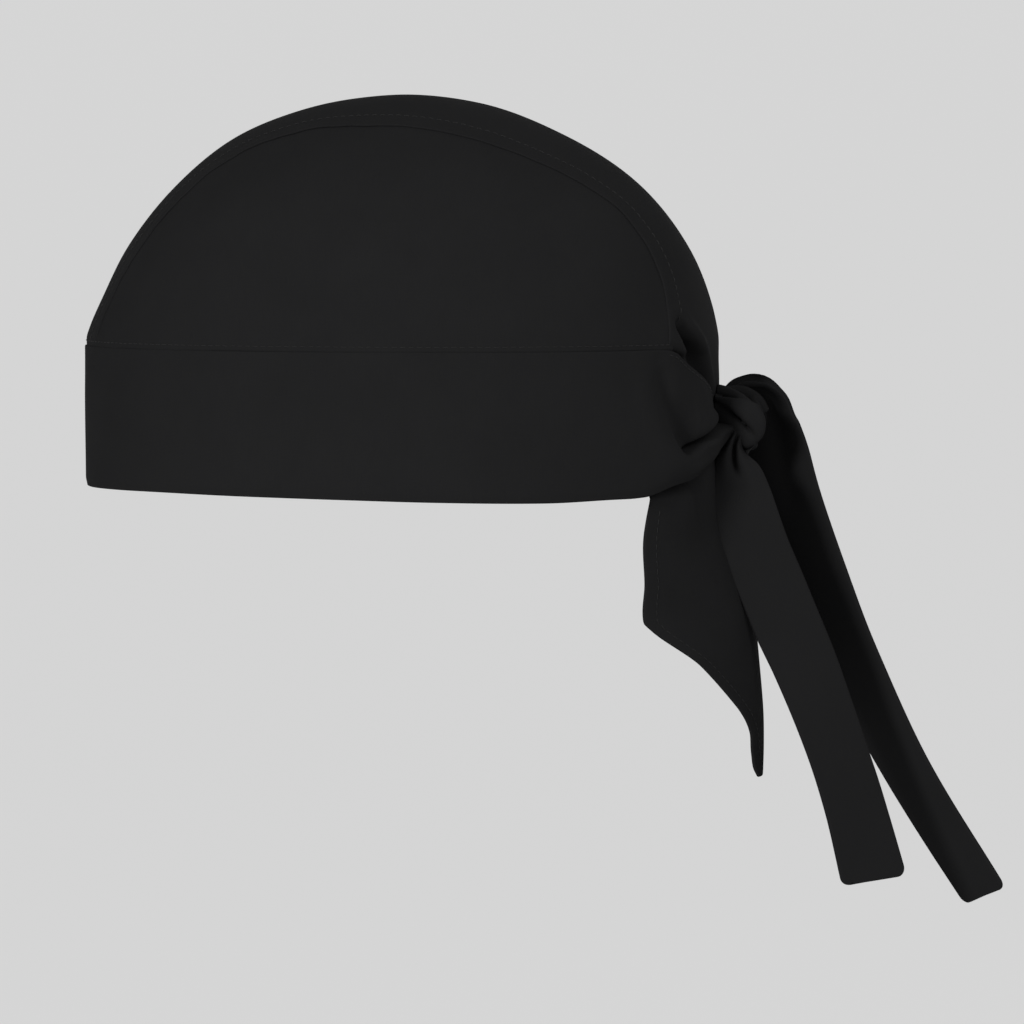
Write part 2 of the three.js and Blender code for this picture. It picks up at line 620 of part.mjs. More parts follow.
// A tie: a ribbon through its sections, pleated where the knot gathers it, with round corners.
function tie(sections, start, reach, drop, clearance) {
  const place = ({ aside, behind, below }) => new THREE.Vector3(
    aside * halfKnot,
    start.y + behind * reach,
    start.z - below * drop,
  );
  const curve = new THREE.CatmullRomCurve3(sections.map(place), false, 'centripetal');
  curve.arcLengthDivisions = 600;
  const length = curve.getLength();
  const rows = sections.map((section, i) => ({ ...section, at: i / (sections.length - 1) }));
  const stations = [];
  for (let i = 0; i <= tieSteps.along; i += 1) {
    stations.push((1 - tieCorner / length) * shareOf(i, tieSteps.along) ** tieSteps.crowding);
  }
  [0.5, 0.87, 1].forEach((share) => stations.push(1 - (tieCorner / length) * (1 - share)));
  const outer = [];
  const inner = [];
  stations.forEach((station) => {
    const t = curve.getUtoTmapping(station);
    const read = (column) => readTable(rows, 'at', column, t);
    const centre = curve.getPoint(t);
    const tangent = curve.getTangent(t);
    const across = tangent.clone().cross(new THREE.Vector3(1, 0, 0)).normalize();
    across.applyAxisAngle(tangent, THREE.MathUtils.degToRad(read('turn')));
    const face = across.clone().cross(tangent).normalize();
    if (station === 0) centre.addScaledVector(tangent, -clearance);
    const toEnd = (1 - station) * length;
    const cut = toEnd < tieCorner ? tieCorner - Math.sqrt(tieCorner ** 2 - (tieCorner - toEnd) ** 2) : 0;
    const half = (tieWidth * read('width')) / 2 - cut + clearance;
    const rowOut = [];
    const rowIn = [];
    for (let c = 0; c <= tieSteps.across; c += 1) {
      const side = 2 * shareOf(c, tieSteps.across) - 1;
      const pleat = tieWidth * read('pleat') * Math.cos(Math.PI * 2 * side);
      const middle = centre.clone().addScaledVector(across, side * half).addScaledVector(face, pleat);
      const plump = tieWidth * read('plump') * (1 - side * side);
      const halfWall = (tieWall + plump) / 2 + clearance;
      rowOut.push(middle.clone().addScaledVector(face, halfWall));
      rowIn.push(middle.clone().addScaledVector(face, -halfWall));
    }
    outer.push(rowOut);
    inner.push(rowIn);
  });
  return bodyBetween(outer, inner);
}

// The ties begin just clear of the strands that they come from.
function leftTie(clearance = 0) {
  const start = knotPlace(leftStrand[leftStrand.length - 1]);
  start.z -= seamGap;
  return tie(leftTieSections, start, leftTieReach, leftTieDrop, clearance);
}

function rightTie(clearance = 0) {
  const start = knotPlace(rightStrand[rightStrand.length - 1]);
  start.z += seamGap;
  return tie(rightTieSections, start, rightTieReach, rightTieDrop, clearance);
}

const cottons = {
  crown: { color: 0x1c1c1c, roughness: 0.92, metalness: 0 },
  band: { color: 0x1b1b1b, roughness: 0.92, metalness: 0 },
  tie: { color: 0x191919, roughness: 0.92, metalness: 0 },
};

const cap = new THREE.Group();
function addPiece(name, geometry, cotton) {
  const piece = new THREE.Mesh(geometry, new THREE.MeshStandardMaterial(cotton));
  piece.name = name;
  cap.add(piece);
}
addPiece('forehead_band', foreheadBand(), cottons.band);
addPiece('side_panel_left', sidePanel(1), cottons.crown);
addPiece('side_panel_right', sidePanel(-1), cottons.crown);
addPiece('centre_panel', centrePanel(), cottons.crown);
addPiece('knot', knot([foreheadBand(seamGap), leftTie(knotGap), rightTie(knotGap)]), cottons.tie);
addPiece('tie_left', leftTie(), cottons.tie);
addPiece('tie_right', rightTie(), cottons.tie);

export default cap;
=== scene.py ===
# %% [markdown]
# A bandana cap in black cotton. A folded band goes round the head, two side panels and a strip over
# the middle close the crown, and the strip hangs out behind as a pointed tail. The band's ends are
# gathered, tied in one half knot over the tail and hang down as two ties. The solid model fixes
# every size and place. This file dresses it: each solid is replaced by a cloth mesh with rounded
# folds, puckered seams, stitches and a woven surface.

# %% The fixed frame
import math
import bpy
import numpy as np
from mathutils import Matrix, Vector
from mathutils.bvhtree import BVHTree


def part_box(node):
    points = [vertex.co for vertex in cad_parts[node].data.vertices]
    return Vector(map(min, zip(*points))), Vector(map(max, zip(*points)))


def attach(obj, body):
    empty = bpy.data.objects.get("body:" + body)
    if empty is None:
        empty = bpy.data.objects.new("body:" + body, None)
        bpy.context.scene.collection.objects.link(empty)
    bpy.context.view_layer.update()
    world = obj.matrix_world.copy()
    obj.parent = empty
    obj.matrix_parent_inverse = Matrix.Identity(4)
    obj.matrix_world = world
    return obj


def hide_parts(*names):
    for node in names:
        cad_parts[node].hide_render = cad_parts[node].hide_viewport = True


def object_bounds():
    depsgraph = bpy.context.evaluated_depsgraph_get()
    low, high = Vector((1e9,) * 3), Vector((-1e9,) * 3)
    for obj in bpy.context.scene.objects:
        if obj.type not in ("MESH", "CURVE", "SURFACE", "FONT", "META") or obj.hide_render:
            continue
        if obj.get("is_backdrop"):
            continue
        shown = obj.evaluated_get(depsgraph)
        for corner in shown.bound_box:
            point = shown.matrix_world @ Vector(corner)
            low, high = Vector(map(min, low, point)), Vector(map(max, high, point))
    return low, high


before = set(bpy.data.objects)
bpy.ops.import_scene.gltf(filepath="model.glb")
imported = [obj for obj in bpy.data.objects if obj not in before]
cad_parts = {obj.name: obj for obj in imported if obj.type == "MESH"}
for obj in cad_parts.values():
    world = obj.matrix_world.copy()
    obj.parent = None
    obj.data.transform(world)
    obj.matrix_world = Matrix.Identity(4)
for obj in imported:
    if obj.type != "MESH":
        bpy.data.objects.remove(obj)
cad_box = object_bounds()
MM = 0.001


def box_mm(node):
    """Lowest and highest corner of a solid, in millimetres."""
    low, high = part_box(node)
    return np.array(low) / MM, np.array(high) / MM


print("solids:", ", ".join(sorted(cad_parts)))

# %% [markdown]
# The camera stands where the photographer stood: level with the rim, a little above, looking at the
# wearer's left side from slightly behind. A long lens keeps the oval of the rim almost flat, so the
# camera is placed by its distance and its lens follows from the width that the picture covers.

# %% Camera
CAMERA_AZIMUTH = math.radians(95)
CAMERA_ELEVATION = math.radians(4)
CAMERA_DISTANCE = 1.4
CAMERA_TARGET = Vector((0, 0.0355, -0.0081))
PICTURE_WIDTH = 0.3308
SENSOR_WIDTH = 36


def new_object(name, data):
    """An object in the scene, standing at the origin."""
    made = bpy.data.objects.new(name, data)
    bpy.context.scene.collection.objects.link(made)
    return made


def direction(azimuth, elevation):
    """A unit vector from the object towards an azimuth and an elevation, in radians."""
    level = math.cos(elevation)
    return Vector((math.sin(azimuth) * level, -math.cos(azimuth) * level, math.sin(elevation)))


def place_facing(thing, position, target):
    """Stands a camera or lamp at a place, looking at another."""
    thing.location = position
    thing.rotation_euler = (target - position).to_track_quat("-Z", "Y").to_euler()


camera_data = bpy.data.cameras.new("camera")
camera_data.sensor_width = SENSOR_WIDTH
camera_data.lens = SENSOR_WIDTH * CAMERA_DISTANCE / PICTURE_WIDTH
camera_data.clip_start = 0.05
camera = new_object("camera", camera_data)
towards_camera = direction(CAMERA_AZIMUTH, CAMERA_ELEVATION)
place_facing(camera, CAMERA_TARGET + towards_camera * CAMERA_DISTANCE, CAMERA_TARGET)
bpy.context.scene.camera = camera
print(f"lens {camera_data.lens:.1f} mm at {CAMERA_DISTANCE} m")

# %% [markdown]
# Shader maths reads better as Python than as a chain of node calls. The class below wraps one
# output socket, so that an expression such as 1 - mask * 0.5 adds its own Math nodes. Everything
# else a material needs comes from one method that adds a node by its type, sets its options and
# fills its inputs.

# %% A socket that can be calculated with
class Value:
    """A number or colour on a node's output, that Python's operators work on."""

    def __init__(self, tree, socket):
        self.tree = tree
        self.socket = socket

    def math(self, operation, *others):
        return self.tree.node("ShaderNodeMath", {"operation": operation}, self, *others)

    def __add__(self, other):
        return self.math("ADD", other)

    def __sub__(self, other):
        return self.math("SUBTRACT", other)

    def __mul__(self, other):
        return self.math("MULTIPLY", other)

    def __rsub__(self, other):
        return self.tree.node("ShaderNodeMath", {"operation": "SUBTRACT"}, other, self)

    __radd__ = __add__
    __rmul__ = __mul__


class Shader:
    """A material's node tree."""

    def __init__(self, name):
        self.material = bpy.data.materials.new(name)
        self.material.use_nodes = True
        self.nodes = self.material.node_tree.nodes
        self.links = self.material.node_tree.links
        self.surface = self.nodes["Principled BSDF"]

    def node(self, kind, options, *values, output=0, **named):
        """Adds a node, sets its options, fills its inputs in order or by name, gives an output."""
        made = self.nodes.new(kind)
        for option, setting in options.items():
            setattr(made, option, setting)
        inputs = [(made.inputs[i], value) for i, value in enumerate(values)]
        inputs += [(made.inputs[name.replace("_", " ")], value) for name, value in named.items()]
        for socket, value in inputs:
            self.fill(socket, value)
        return Value(self, made.outputs[output])

    def fill(self, socket, value):
        if isinstance(value, Value):
            self.links.new(value.socket, socket)
        else:
            socket.default_value = value

    def finish(self, **named):
        """Fills the sockets of the surface itself."""
        for name, value in named.items():
            self.fill(self.surface.inputs[name.replace("_", " ")], value)
        return self.material


# %% [markdown]
# The cotton is a plain weave: each thread goes over one and under the next. Two rows of round
# threads are drawn in the flat pattern's own millimetres, which every cloth mesh carries as a UV
# map, so the weave follows the cut of each piece. The thread that is on top at a place gives the
# height, which bumps the surface and also paints light on the thread tops and shade between them
# into the colour. Black cotton is hardly shiny, so the specular level is low, and slow noise stands
# for thread that took the dye unevenly.

# %% Cotton
PATTERN = "flat_pattern"
PATTERN_UNIT = 100
THREAD_PITCH = 0.42
CLOTH_GREY = 0.0115
THREAD_GREY = 0.0108
WEAVE_PAINTED_LIGHT = 0.16
WEAVE_DEPTH = 0.00005
DYE_PATCHES = 38.0
SLUB_STRETCH = (260.0, 14.0, 1.0)
FUZZ_GRAIN = 2400.0
TWIST_GRAIN = 5200.0
OBJECT_PLACE = 3


def cotton(name, uneven):
    """Black plain-woven cotton. uneven says how much its dye varies."""
    s = Shader(name)
    flat = s.node("ShaderNodeUVMap", {"uv_map": PATTERN})
    threads = s.node("ShaderNodeVectorMath", {"operation": "SCALE"}, flat,
                     Scale=PATTERN_UNIT / THREAD_PITCH)
    split = s.node("ShaderNodeSeparateXYZ", {}, threads).socket.node.outputs
    weft, warp = Value(s, split["X"]), Value(s, split["Y"])

    def thread(across, along):
        """Height of threads that lie side by side across and wave along."""
        round_top = (across * math.pi).math("SINE").math("ABSOLUTE").math("POWER", 0.6)
        wave = ((along + across.math("FLOOR")) * math.pi).math("SINE") * 0.5 + 0.5
        return round_top * wave

    height = thread(weft, warp).math("MAXIMUM", thread(warp, weft + 1))
    place = s.node("ShaderNodeTexCoord", {}, output=OBJECT_PLACE)
    dye = s.node("ShaderNodeTexNoise", {}, place, Scale=DYE_PATCHES, Detail=3.0, Roughness=0.6)
    slub_place = s.node("ShaderNodeMapping", {}, flat, Scale=SLUB_STRETCH)
    slub = s.node("ShaderNodeTexNoise", {}, slub_place, Scale=1.0, Detail=2.0)
    # Painted light: the weave's height makes the colour lighter on thread tops and darker in the
    # gaps between threads; the dye and slub noise are the cloth's own uneven tone.
    light = (dye - 0.5) * uneven * 2 + (slub - 0.5) * uneven + (height - 0.5) * WEAVE_PAINTED_LIGHT + 1
    grey = light * CLOTH_GREY
    colour = s.node("ShaderNodeCombineColor", {}, grey, grey, grey * 1.03)
    fuzz = s.node("ShaderNodeTexNoise", {}, place, Scale=FUZZ_GRAIN, Detail=2.0)
    bump = s.node("ShaderNodeBump", {}, Strength=0.5, Distance=WEAVE_DEPTH,
                  Height=height + fuzz * 0.5)
    return s.finish(Base_Color=colour, Roughness=0.97 - height * 0.1, Specular_IOR_Level=0.02,
                    Normal=bump)


def twisted_thread(name):
    """Sewing thread: twisted, so it catches a little more light than the cloth."""
    s = Shader(name)
    place = s.node("ShaderNodeTexCoord", {}, output=OBJECT_PLACE)
    twist = s.node("ShaderNodeTexNoise", {}, place, Scale=TWIST_GRAIN, Detail=1.0)
    grey = (twist * 0.5 + 0.75) * THREAD_GREY
    colour = s.node("ShaderNodeCombineColor", {}, grey, grey, grey)
    return s.finish(Base_Color=colour, Roughness=0.7, Specular_IOR_Level=0.2)


crown_cotton = cotton("crown_cotton", 0.12)
band_cotton = cotton("band_cotton", 0.12)
tie_cotton = cotton("tie_cotton", 0.08)
sewing_thread = twisted_thread("sewing_thread")
print("materials:", [m.name for m in (crown_cotton, band_cotton, tie_cotton, sewing_thread)])

# %% [markdown]
# The backdrop is one sheet of pale paper that curves up behind the cap, lit so evenly that it looks
# flat. The key lamp stands to the left of the camera, low enough for the near tie to throw its
# shadow on the far one. A larger, weaker lamp on the right lights the back of the crown, a third
# lights the cap from behind, and the pale room fills the rest.

# %% Stage and lights
FLOOR_LEVEL = -0.45
BACKDROP_REACH = 3.2
BACKDROP_CURVE = 0.8
BACKDROP_HEIGHT = 3.5
PAPER_LIGHT = 0.625
PAPER_GREY = 0.08
ROOM_LIGHT = 0.31


def backdrop():
    """A floor and wall in one: a profile with a quarter circle, drawn along the camera's right."""
    quarter = np.linspace(0, math.pi / 2, 17)
    away = BACKDROP_REACH + BACKDROP_CURVE * np.sin(quarter)
    away = np.concatenate([[-BACKDROP_REACH], away, away[-1:]])
    up = np.concatenate([[0.0], BACKDROP_CURVE * (1 - np.cos(quarter)), [BACKDROP_HEIGHT]])
    back = -Vector((towards_camera.x, towards_camera.y, 0)).normalized()
    side = Vector((-back.y, back.x, 0))
    points = [back * reach + side * (end * BACKDROP_REACH) + Vector((0, 0, FLOOR_LEVEL + height))
              for reach, height in zip(away, up) for end in (-1, 1)]
    faces = [(2 * i + 1, 2 * i, 2 * i + 2, 2 * i + 3) for i in range(len(away) - 1)]
    mesh = bpy.data.meshes.new("backdrop")
    mesh.from_pydata(points, [], faces)
    mesh.shade_smooth()
    mesh.materials.append(Shader("paper").finish(
        Base_Color=(PAPER_GREY, PAPER_GREY, PAPER_GREY, 1), Roughness=1.0,
        Specular_IOR_Level=0.0, Emission_Color=(PAPER_LIGHT, PAPER_LIGHT, PAPER_LIGHT, 1),
        Emission_Strength=1.0))
    new_object("backdrop", mesh)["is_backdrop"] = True


def lamp(name, azimuth, elevation, distance, size, power):
    """A square soft lamp that looks at the cap. Angles in degrees."""
    data = bpy.data.lights.new(name, "AREA")
    data.size = size
    data.energy = power
    place = CAMERA_TARGET + direction(math.radians(azimuth), math.radians(elevation)) * distance
    place_facing(new_object(name, data), place, CAMERA_TARGET)


backdrop()
lamp("key_lamp", 62, 17, 1.7, 0.3, 19.5)
lamp("fill_lamp", 134, 30, 1.8, 1.5, 12)
lamp("rear_lamp", 205, 42, 1.8, 1.2, 6.5)
room = bpy.data.worlds.new("room")
room.use_nodes = True
room.node_tree.nodes["Background"].inputs["Color"].default_value = (1, 1, 1, 1)
room.node_tree.nodes["Background"].inputs["Strength"].default_value = ROOM_LIGHT
bpy.context.scene.world = room
bpy.context.scene.view_settings.view_transform = "Standard"
print("stage and lights set")

# %% [markdown]
# Cloth is drawn here by rule instead of simulated: the cap is cut and pressed, so its folds have
# known places. A short table gives a shape at a few places, and a smooth curve reads it everywhere
# between them. The plain kind of curve never overshoots a row, the loose kind is rounder.

# %% Tables
def table(names, *rows):
    """A short table, as one array for each named column."""
    return dict(zip(names.split(), np.array(rows, float).T))


def cubic(knots, values, slopes, at):
    """The curve with given values and slopes at its knots. The values may have columns."""
    i = np.clip(np.searchsorted(knots, at, side="right") - 1, 0, len(knots) - 2)
    span = knots[i + 1] - knots[i]
    t = (at - knots[i]) / span
    if values.ndim > 1:
        span, t = span[:, None], t[:, None]
    return ((1 + 2 * t) * (1 - t) ** 2 * values[i] + t * (1 - t) ** 2 * span * slopes[i]
            + t * t * (3 - 2 * t) * values[i + 1] + t * t * (t - 1) * span * slopes[i + 1])


def read(rows, key, name, at, loose=False):
    """One column of a table at any places. loose makes the curve rounder."""
    x, y = rows[key], rows[name]
    slope = np.diff(y) / np.diff(x)
    product = slope[:-1] * slope[1:]
    total = np.where(product > 0, slope[:-1] + slope[1:], 1)
    inner = np.where(product > 0, 2 * product / total, 0)
    tangent = np.gradient(y, x) if loose else np.concatenate([slope[:1], inner, slope[-1:]])
    return cubic(x, y, tangent, np.clip(np.asarray(at, float), x[0], x[-1]))


def through(knots, values, at):
    """A loose curve through values, one row for each knot, read at shares."""
    return cubic(knots, values, np.gradient(values, knots, axis=0), at)


def smooth(value, low, high):
    """0 below low, 1 above high and smooth between them."""
    t = np.clip((value - low) / (high - low), 0, 1)
    return t * t * (3 - 2 * t)


# %% [markdown]
# A piece starts as a grid of points, rows by columns, in millimetres. The helpers below measure it,
# give the way out of it, and space its rows closer where an edge will be rounded.

# %% Grids
EDGE_STEPS = np.array([0.12, 0.3, 0.55, 0.9])


def unit(vectors):
    return vectors / np.maximum(np.linalg.norm(vectors, axis=-1, keepdims=True), 1e-9)


def normals(grid):
    """Outward directions of a grid of points, rows by columns."""
    return unit(np.cross(np.gradient(grid, axis=1), np.gradient(grid, axis=0)))


def path_lengths(points, axis):
    """Distance walked along an axis of a grid."""
    steps = np.linalg.norm(np.diff(points, axis=axis), axis=-1)
    start = np.zeros_like(np.take(steps, [0], axis=axis))
    return np.cumsum(np.concatenate([start, steps], axis=axis), axis=axis)


def between(at, places, values):
    """Columns of values, read between the places that they are known at."""
    return np.stack([np.interp(at, places, column) for column in values.T], -1)


def shares(count, length):
    """Shares from 0 to 1, with extra ones close to the ends, for the rounding of an edge."""
    near = EDGE_STEPS / length
    clear = near[-1] * 1.5
    plain = np.linspace(0, 1, count)[1:-1]
    plain = plain[(plain > clear) & (plain < 1 - clear)]
    return np.concatenate([[0], near, plain, 1 - near[::-1], [1]])


# %% [markdown]
# No cloth is quite even. A few plane waves with seeded lengths and directions add up to a soft
# unevenness that is the same each time. Pieces that meet read it from their places in space, so
# that they rise and sink together.

# %% Unevenness
def waves(u, v, seed, shortest, longest, count=7):
    """Soft unevenness between -1 and 1: a few plane waves with seeded directions."""
    random = np.random.default_rng(seed)
    total = 0
    for _ in range(count):
        length = random.uniform(shortest, longest)
        angle, phase = random.uniform(0, 2 * np.pi, 2)
        total = total + np.sin(2 * np.pi * (u * np.cos(angle) + v * np.sin(angle)) / length + phase)
    return total / count


def bumps(points, seed, shortest, longest, count=9):
    """The same, from places in space, so that pieces that meet share the unevenness."""
    random = np.random.default_rng(seed)
    total = 0
    for _ in range(count):
        towards = unit(random.normal(size=3)) * (2 * np.pi / random.uniform(shortest, longest))
        total = total + np.sin(points @ towards + random.uniform(0, 2 * np.pi))
    return total / count


# %% [markdown]
# Folds that are pressed in are grooves: a line of places, a width and a depth, with a low rim
# beside it where the cloth is pushed up. The deepest is the slot behind the ear, where the gathered
# band draws the side panel away from under the strip.

# %% Grooves
SLOT_DEPTH = 12.5
SLOT_WIDTH = 1.9
SLOT_RIM = 0.1
RIM_AWAY = 2.6
RIM_WIDTH = 1.1
slot_line = [(41, 92.6, 54), (38, 94.2, 50), (33.8, 96, 46.5), (28.6, 97.9, 42.5),
             (23.8, 99.3, 39), (19.8, 100.2, 35), (15.5, 101, 30.5)]


def from_line(points, line):
    """Distance of points to a line of places, and the share along the line that is nearest."""
    line = np.asarray(line, float)
    best = np.full(points.shape[:-1], 1e9)
    where = np.zeros(points.shape[:-1])
    for i in range(len(line) - 1):
        along = line[i + 1] - line[i]
        t = np.clip(((points - line[i]) @ along) / (along @ along), 0, 1)
        gap = np.linalg.norm(points - line[i] - t[..., None] * along, axis=-1)
        where = np.where(gap < best, (i + t) / (len(line) - 1), where)
        best = np.minimum(best, gap)
    return best, where


def groove(points, line, width, depth, rim=SLOT_RIM):
    """Depth of a soft groove along a line, which fades out at both of its ends."""
    gap, where = from_line(points, line)
    beside = (gap - RIM_AWAY * width) / (RIM_WIDTH * width)
    profile = np.exp(-(gap / width) ** 2) - rim * np.exp(-beside ** 2)
    return depth * np.sin(np.pi * np.clip(where, 0.03, 0.97)) ** 0.5 * profile


def mirrored(line):
    """The same line on the wearer's right."""
    return [(-x, y, z) for x, y, z in line]


slot_span = np.linalg.norm(np.subtract(slot_line[-1], slot_line[0]))
print(f"slot: {slot_span:.0f} mm from end to end, {SLOT_DEPTH} mm deep")

# %% [markdown]
# A grid of outer points becomes a closed cloth wall: a second grid inside it, and a rim between
# the two. Towards every edge the two grids draw together along a quarter circle, so that the edge
# is round. The flat pattern's millimetres go into the UV map that the weave reads.

# %% A cloth wall
EDGE_KEPT = 0.12


def wall(name, outer, thickness, material, flat, edge=None, kept=EDGE_KEPT):
    """A closed wall under a grid. kept is the share of its thickness that an edge keeps."""
    rows, columns = outer.shape[:2]
    thickness = np.broadcast_to(np.asarray(thickness, float), (rows, columns))
    along, across = path_lengths(outer, 0), path_lengths(outer, 1)
    border = np.minimum(np.minimum(along, along[-1:] - along),
                        np.minimum(across, across[:, -1:] - across))
    radius = thickness / 2 if edge is None else edge
    turn = 1 - np.sqrt(1 - (1 - np.clip(border / radius, 0, 1)) ** 2)
    lowered = thickness / 2 * (1 - kept) * turn
    outward = normals(outer)
    top = outer - outward * lowered[..., None]
    bottom = outer - outward * (thickness - lowered)[..., None]
    points = np.concatenate([top.reshape(-1, 3), bottom.reshape(-1, 3)]) * MM
    over = np.arange(rows * columns).reshape(rows, columns)
    under = over + rows * columns

    def squares(index):
        corners = index[:-1, :-1], index[:-1, 1:], index[1:, 1:], index[1:, :-1]
        return np.stack(corners, -1).reshape(-1, 4)

    rim = np.concatenate([over[0, :], over[1:, -1], over[-1, -2::-1], over[-2:0:-1, 0]])
    after = np.roll(rim, -1)
    sides = np.stack([rim, rim + rows * columns, after + rows * columns, after], -1)
    faces = np.concatenate([squares(over), squares(under)[:, [0, 3, 2, 1]], sides])
    flat = np.concatenate([flat.reshape(-1, 2)] * 2) / PATTERN_UNIT
    return cloth_object(name, points, faces, flat, material)


def cloth_object(name, points, faces, flat, material):
    """A smooth mesh with its flat pattern, standing at the origin."""
    mesh = bpy.data.meshes.new(name)
    mesh.from_pydata(points.tolist(), [], faces.tolist())
    corners = np.empty(len(mesh.loops), int)
    mesh.loops.foreach_get("vertex_index", corners)
    pattern = mesh.uv_layers.new(name=PATTERN).data
    pattern.foreach_set("uv", flat[corners].astype(np.float32).ravel())
    mesh.materials.append(material)
    mesh.shade_smooth()
    print(f"{name}: {len(points)} points, {2 * len(faces)} triangles")
    return new_object(name, mesh)


# %% [markdown]
# The head opening is an oval made of two halves of a superellipse, and the crown rises over it by
# the outline seen from the side and a rounder one from the front. These rules are the ones that the
# solids were made by, with their sizes read back from the solids' boxes.

# %% The oval and the crown
band_low, band_high = box_mm("forehead_band")
panel_low, panel_high = box_mm("centre_panel")
HALF_WIDTH = band_high[0]
HALF_LENGTH = -band_low[1]
BAND_HEIGHT = band_high[2]
SEAM_GAP = 0.3
CROWN_RISE = panel_high[2] - BAND_HEIGHT - SEAM_GAP
TAIL_TIP_DROP = -panel_low[2]
WIDEST_BEHIND_MIDDLE = 8
FOREHEAD_POWER = 2.1
NAPE_POWER = 2.3
CROWN_POWER = 1.95
HALF_STRIP = 41

crown_outline = table(
    "along rise",
    (0, 0), (0.05, 0.07), (0.1, 0.18), (0.17, 0.403), (0.245, 0.633), (0.33, 0.842), (0.4, 0.941),
    (0.46, 0.987), (0.51, 1.002), (0.58, 0.967), (0.667, 0.843), (0.772, 0.636), (0.865, 0.37),
    (0.93, 0.162), (0.965, 0.062), (1, 0))

strip_edge = table(
    "along half",
    (0, 0.75), (0.12, 0.73), (0.22, 0.77), (0.32, 0.765), (0.4, 0.81), (0.5, 0.94), (0.57, 0.985),
    (0.72, 0.965), (0.8, 0.94), (0.87, 1.0), (0.95, 1.12), (1, 1.145))


def round_off(share, power):
    """A quarter of a superellipse: 1 in the middle, 0 at the edge."""
    return (1 - np.minimum(np.abs(share), 1) ** power) ** (1 / power)


def opening_front(aside):
    """How far forwards the opening reaches at a place aside."""
    reach = HALF_LENGTH + WIDEST_BEHIND_MIDDLE
    return WIDEST_BEHIND_MIDDLE - reach * round_off(aside / HALF_WIDTH, FOREHEAD_POWER)


def opening_back(aside):
    """How far back it reaches there."""
    reach = HALF_LENGTH - WIDEST_BEHIND_MIDDLE
    return WIDEST_BEHIND_MIDDLE + reach * round_off(aside / HALF_WIDTH, NAPE_POWER)


def crown(aside, along):
    """A point of the crown, aside from the middle and along from forehead (0) to nape (1)."""
    front, back = opening_front(aside), opening_back(aside)
    y = (front + back) / 2 - (back - front) / 2 * np.cos(np.pi * along)
    rise = CROWN_RISE * read(crown_outline, "along", "rise", along, loose=True)
    z = BAND_HEIGHT + SEAM_GAP + rise * round_off(aside / HALF_WIDTH, CROWN_POWER)
    return np.stack(np.broadcast_arrays(aside, y, z), -1)


def crown_along(aside, y):
    """The share along at which the crown lies over a place in plan."""
    front, back = opening_front(aside), opening_back(aside)
    return np.arccos(-np.clip((y - (front + back) / 2) / ((back - front) / 2), -1, 1)) / np.pi


def strip_half(along):
    """Half the strip's breadth, from forehead (0) to nape (1)."""
    return HALF_STRIP * read(strip_edge, "along", "half", along, loose=True)


OVAL_STEPS = 4000
oval_angle = np.linspace(0, np.pi, OVAL_STEPS + 1)
oval_power = np.where(oval_angle < np.pi / 2, FOREHEAD_POWER, NAPE_POWER)
oval_aside = HALF_WIDTH * np.sin(oval_angle) ** (2 / oval_power)
oval_y = np.where(oval_angle < np.pi / 2, opening_front(oval_aside), opening_back(oval_aside))
oval_length = path_lengths(np.stack([oval_aside, oval_y], -1), 0)
half_round = oval_length[-1]


def oval_place(distance):
    """Points of the oval at distances from the middle of the forehead, on the wearer's left."""
    return np.interp(distance, oval_length, oval_aside), np.interp(distance, oval_length, oval_y)


def oval_distance(aside, behind):
    """The distance at which the oval is so far aside, in its front or its back half."""
    half = oval_angle >= np.pi / 2 if behind else oval_angle < np.pi / 2
    order = np.argsort(oval_aside[half])
    return np.interp(aside, oval_aside[half][order], oval_length[half][order])


print(f"head opening {2 * half_round:.0f} mm round, crown {CROWN_RISE:.0f} mm over the band")

# %% [markdown]
# A side panel reaches from the band's seam up under the strip's folded edge. Its grid is laid out
# in plan, from the foot on the oval to the head below the strip, and lifted onto the crown. Sewing
# draws the cloth up a little, so it is puckered along both seams, and the panel itself is never
# quite even.

# %% Side panels
PANEL_WALL = 0.8
UNDER_STRIP = 5.0
SUNK_UNDER_STRIP = 0.45
SUNK_AT_NAPE = 2.0
TUCKED_IN = 0.6
TUCKED_DOWN = 1.8
PUCKER = 0.4
PUCKER_REACH = 7.0
UNEVEN = 0.6
PANEL_ROWS = 86
PANEL_COLUMNS = 230
PANEL_CLIMB = 95
PANEL_END = 0.004
HEAD_STEPS = 600


def uneven_cloth(points, from_seam):
    """How far cloth stands off its rule: slow waves, and puckers beside a seam."""
    pucker = bumps(points, 11, 6, 14) * np.exp(-np.maximum(from_seam, 0) / PUCKER_REACH)
    return UNEVEN * bumps(points, 31, 32, 80) + PUCKER * pucker


def tucked_foot(grid):
    """Two rows more below the foot of a grid, which slip behind the band's upper edge."""
    inward = unit(grid[:1] * [1, 1, 0] - [0, WIDEST_BEHIND_MIDDLE, 0]) * -TUCKED_IN
    deep = grid[:1] + inward - [0, 0, TUCKED_DOWN]
    return np.concatenate([deep, grid[:1] + inward * 0.5 - [0, 0, TUCKED_DOWN / 3], grid])


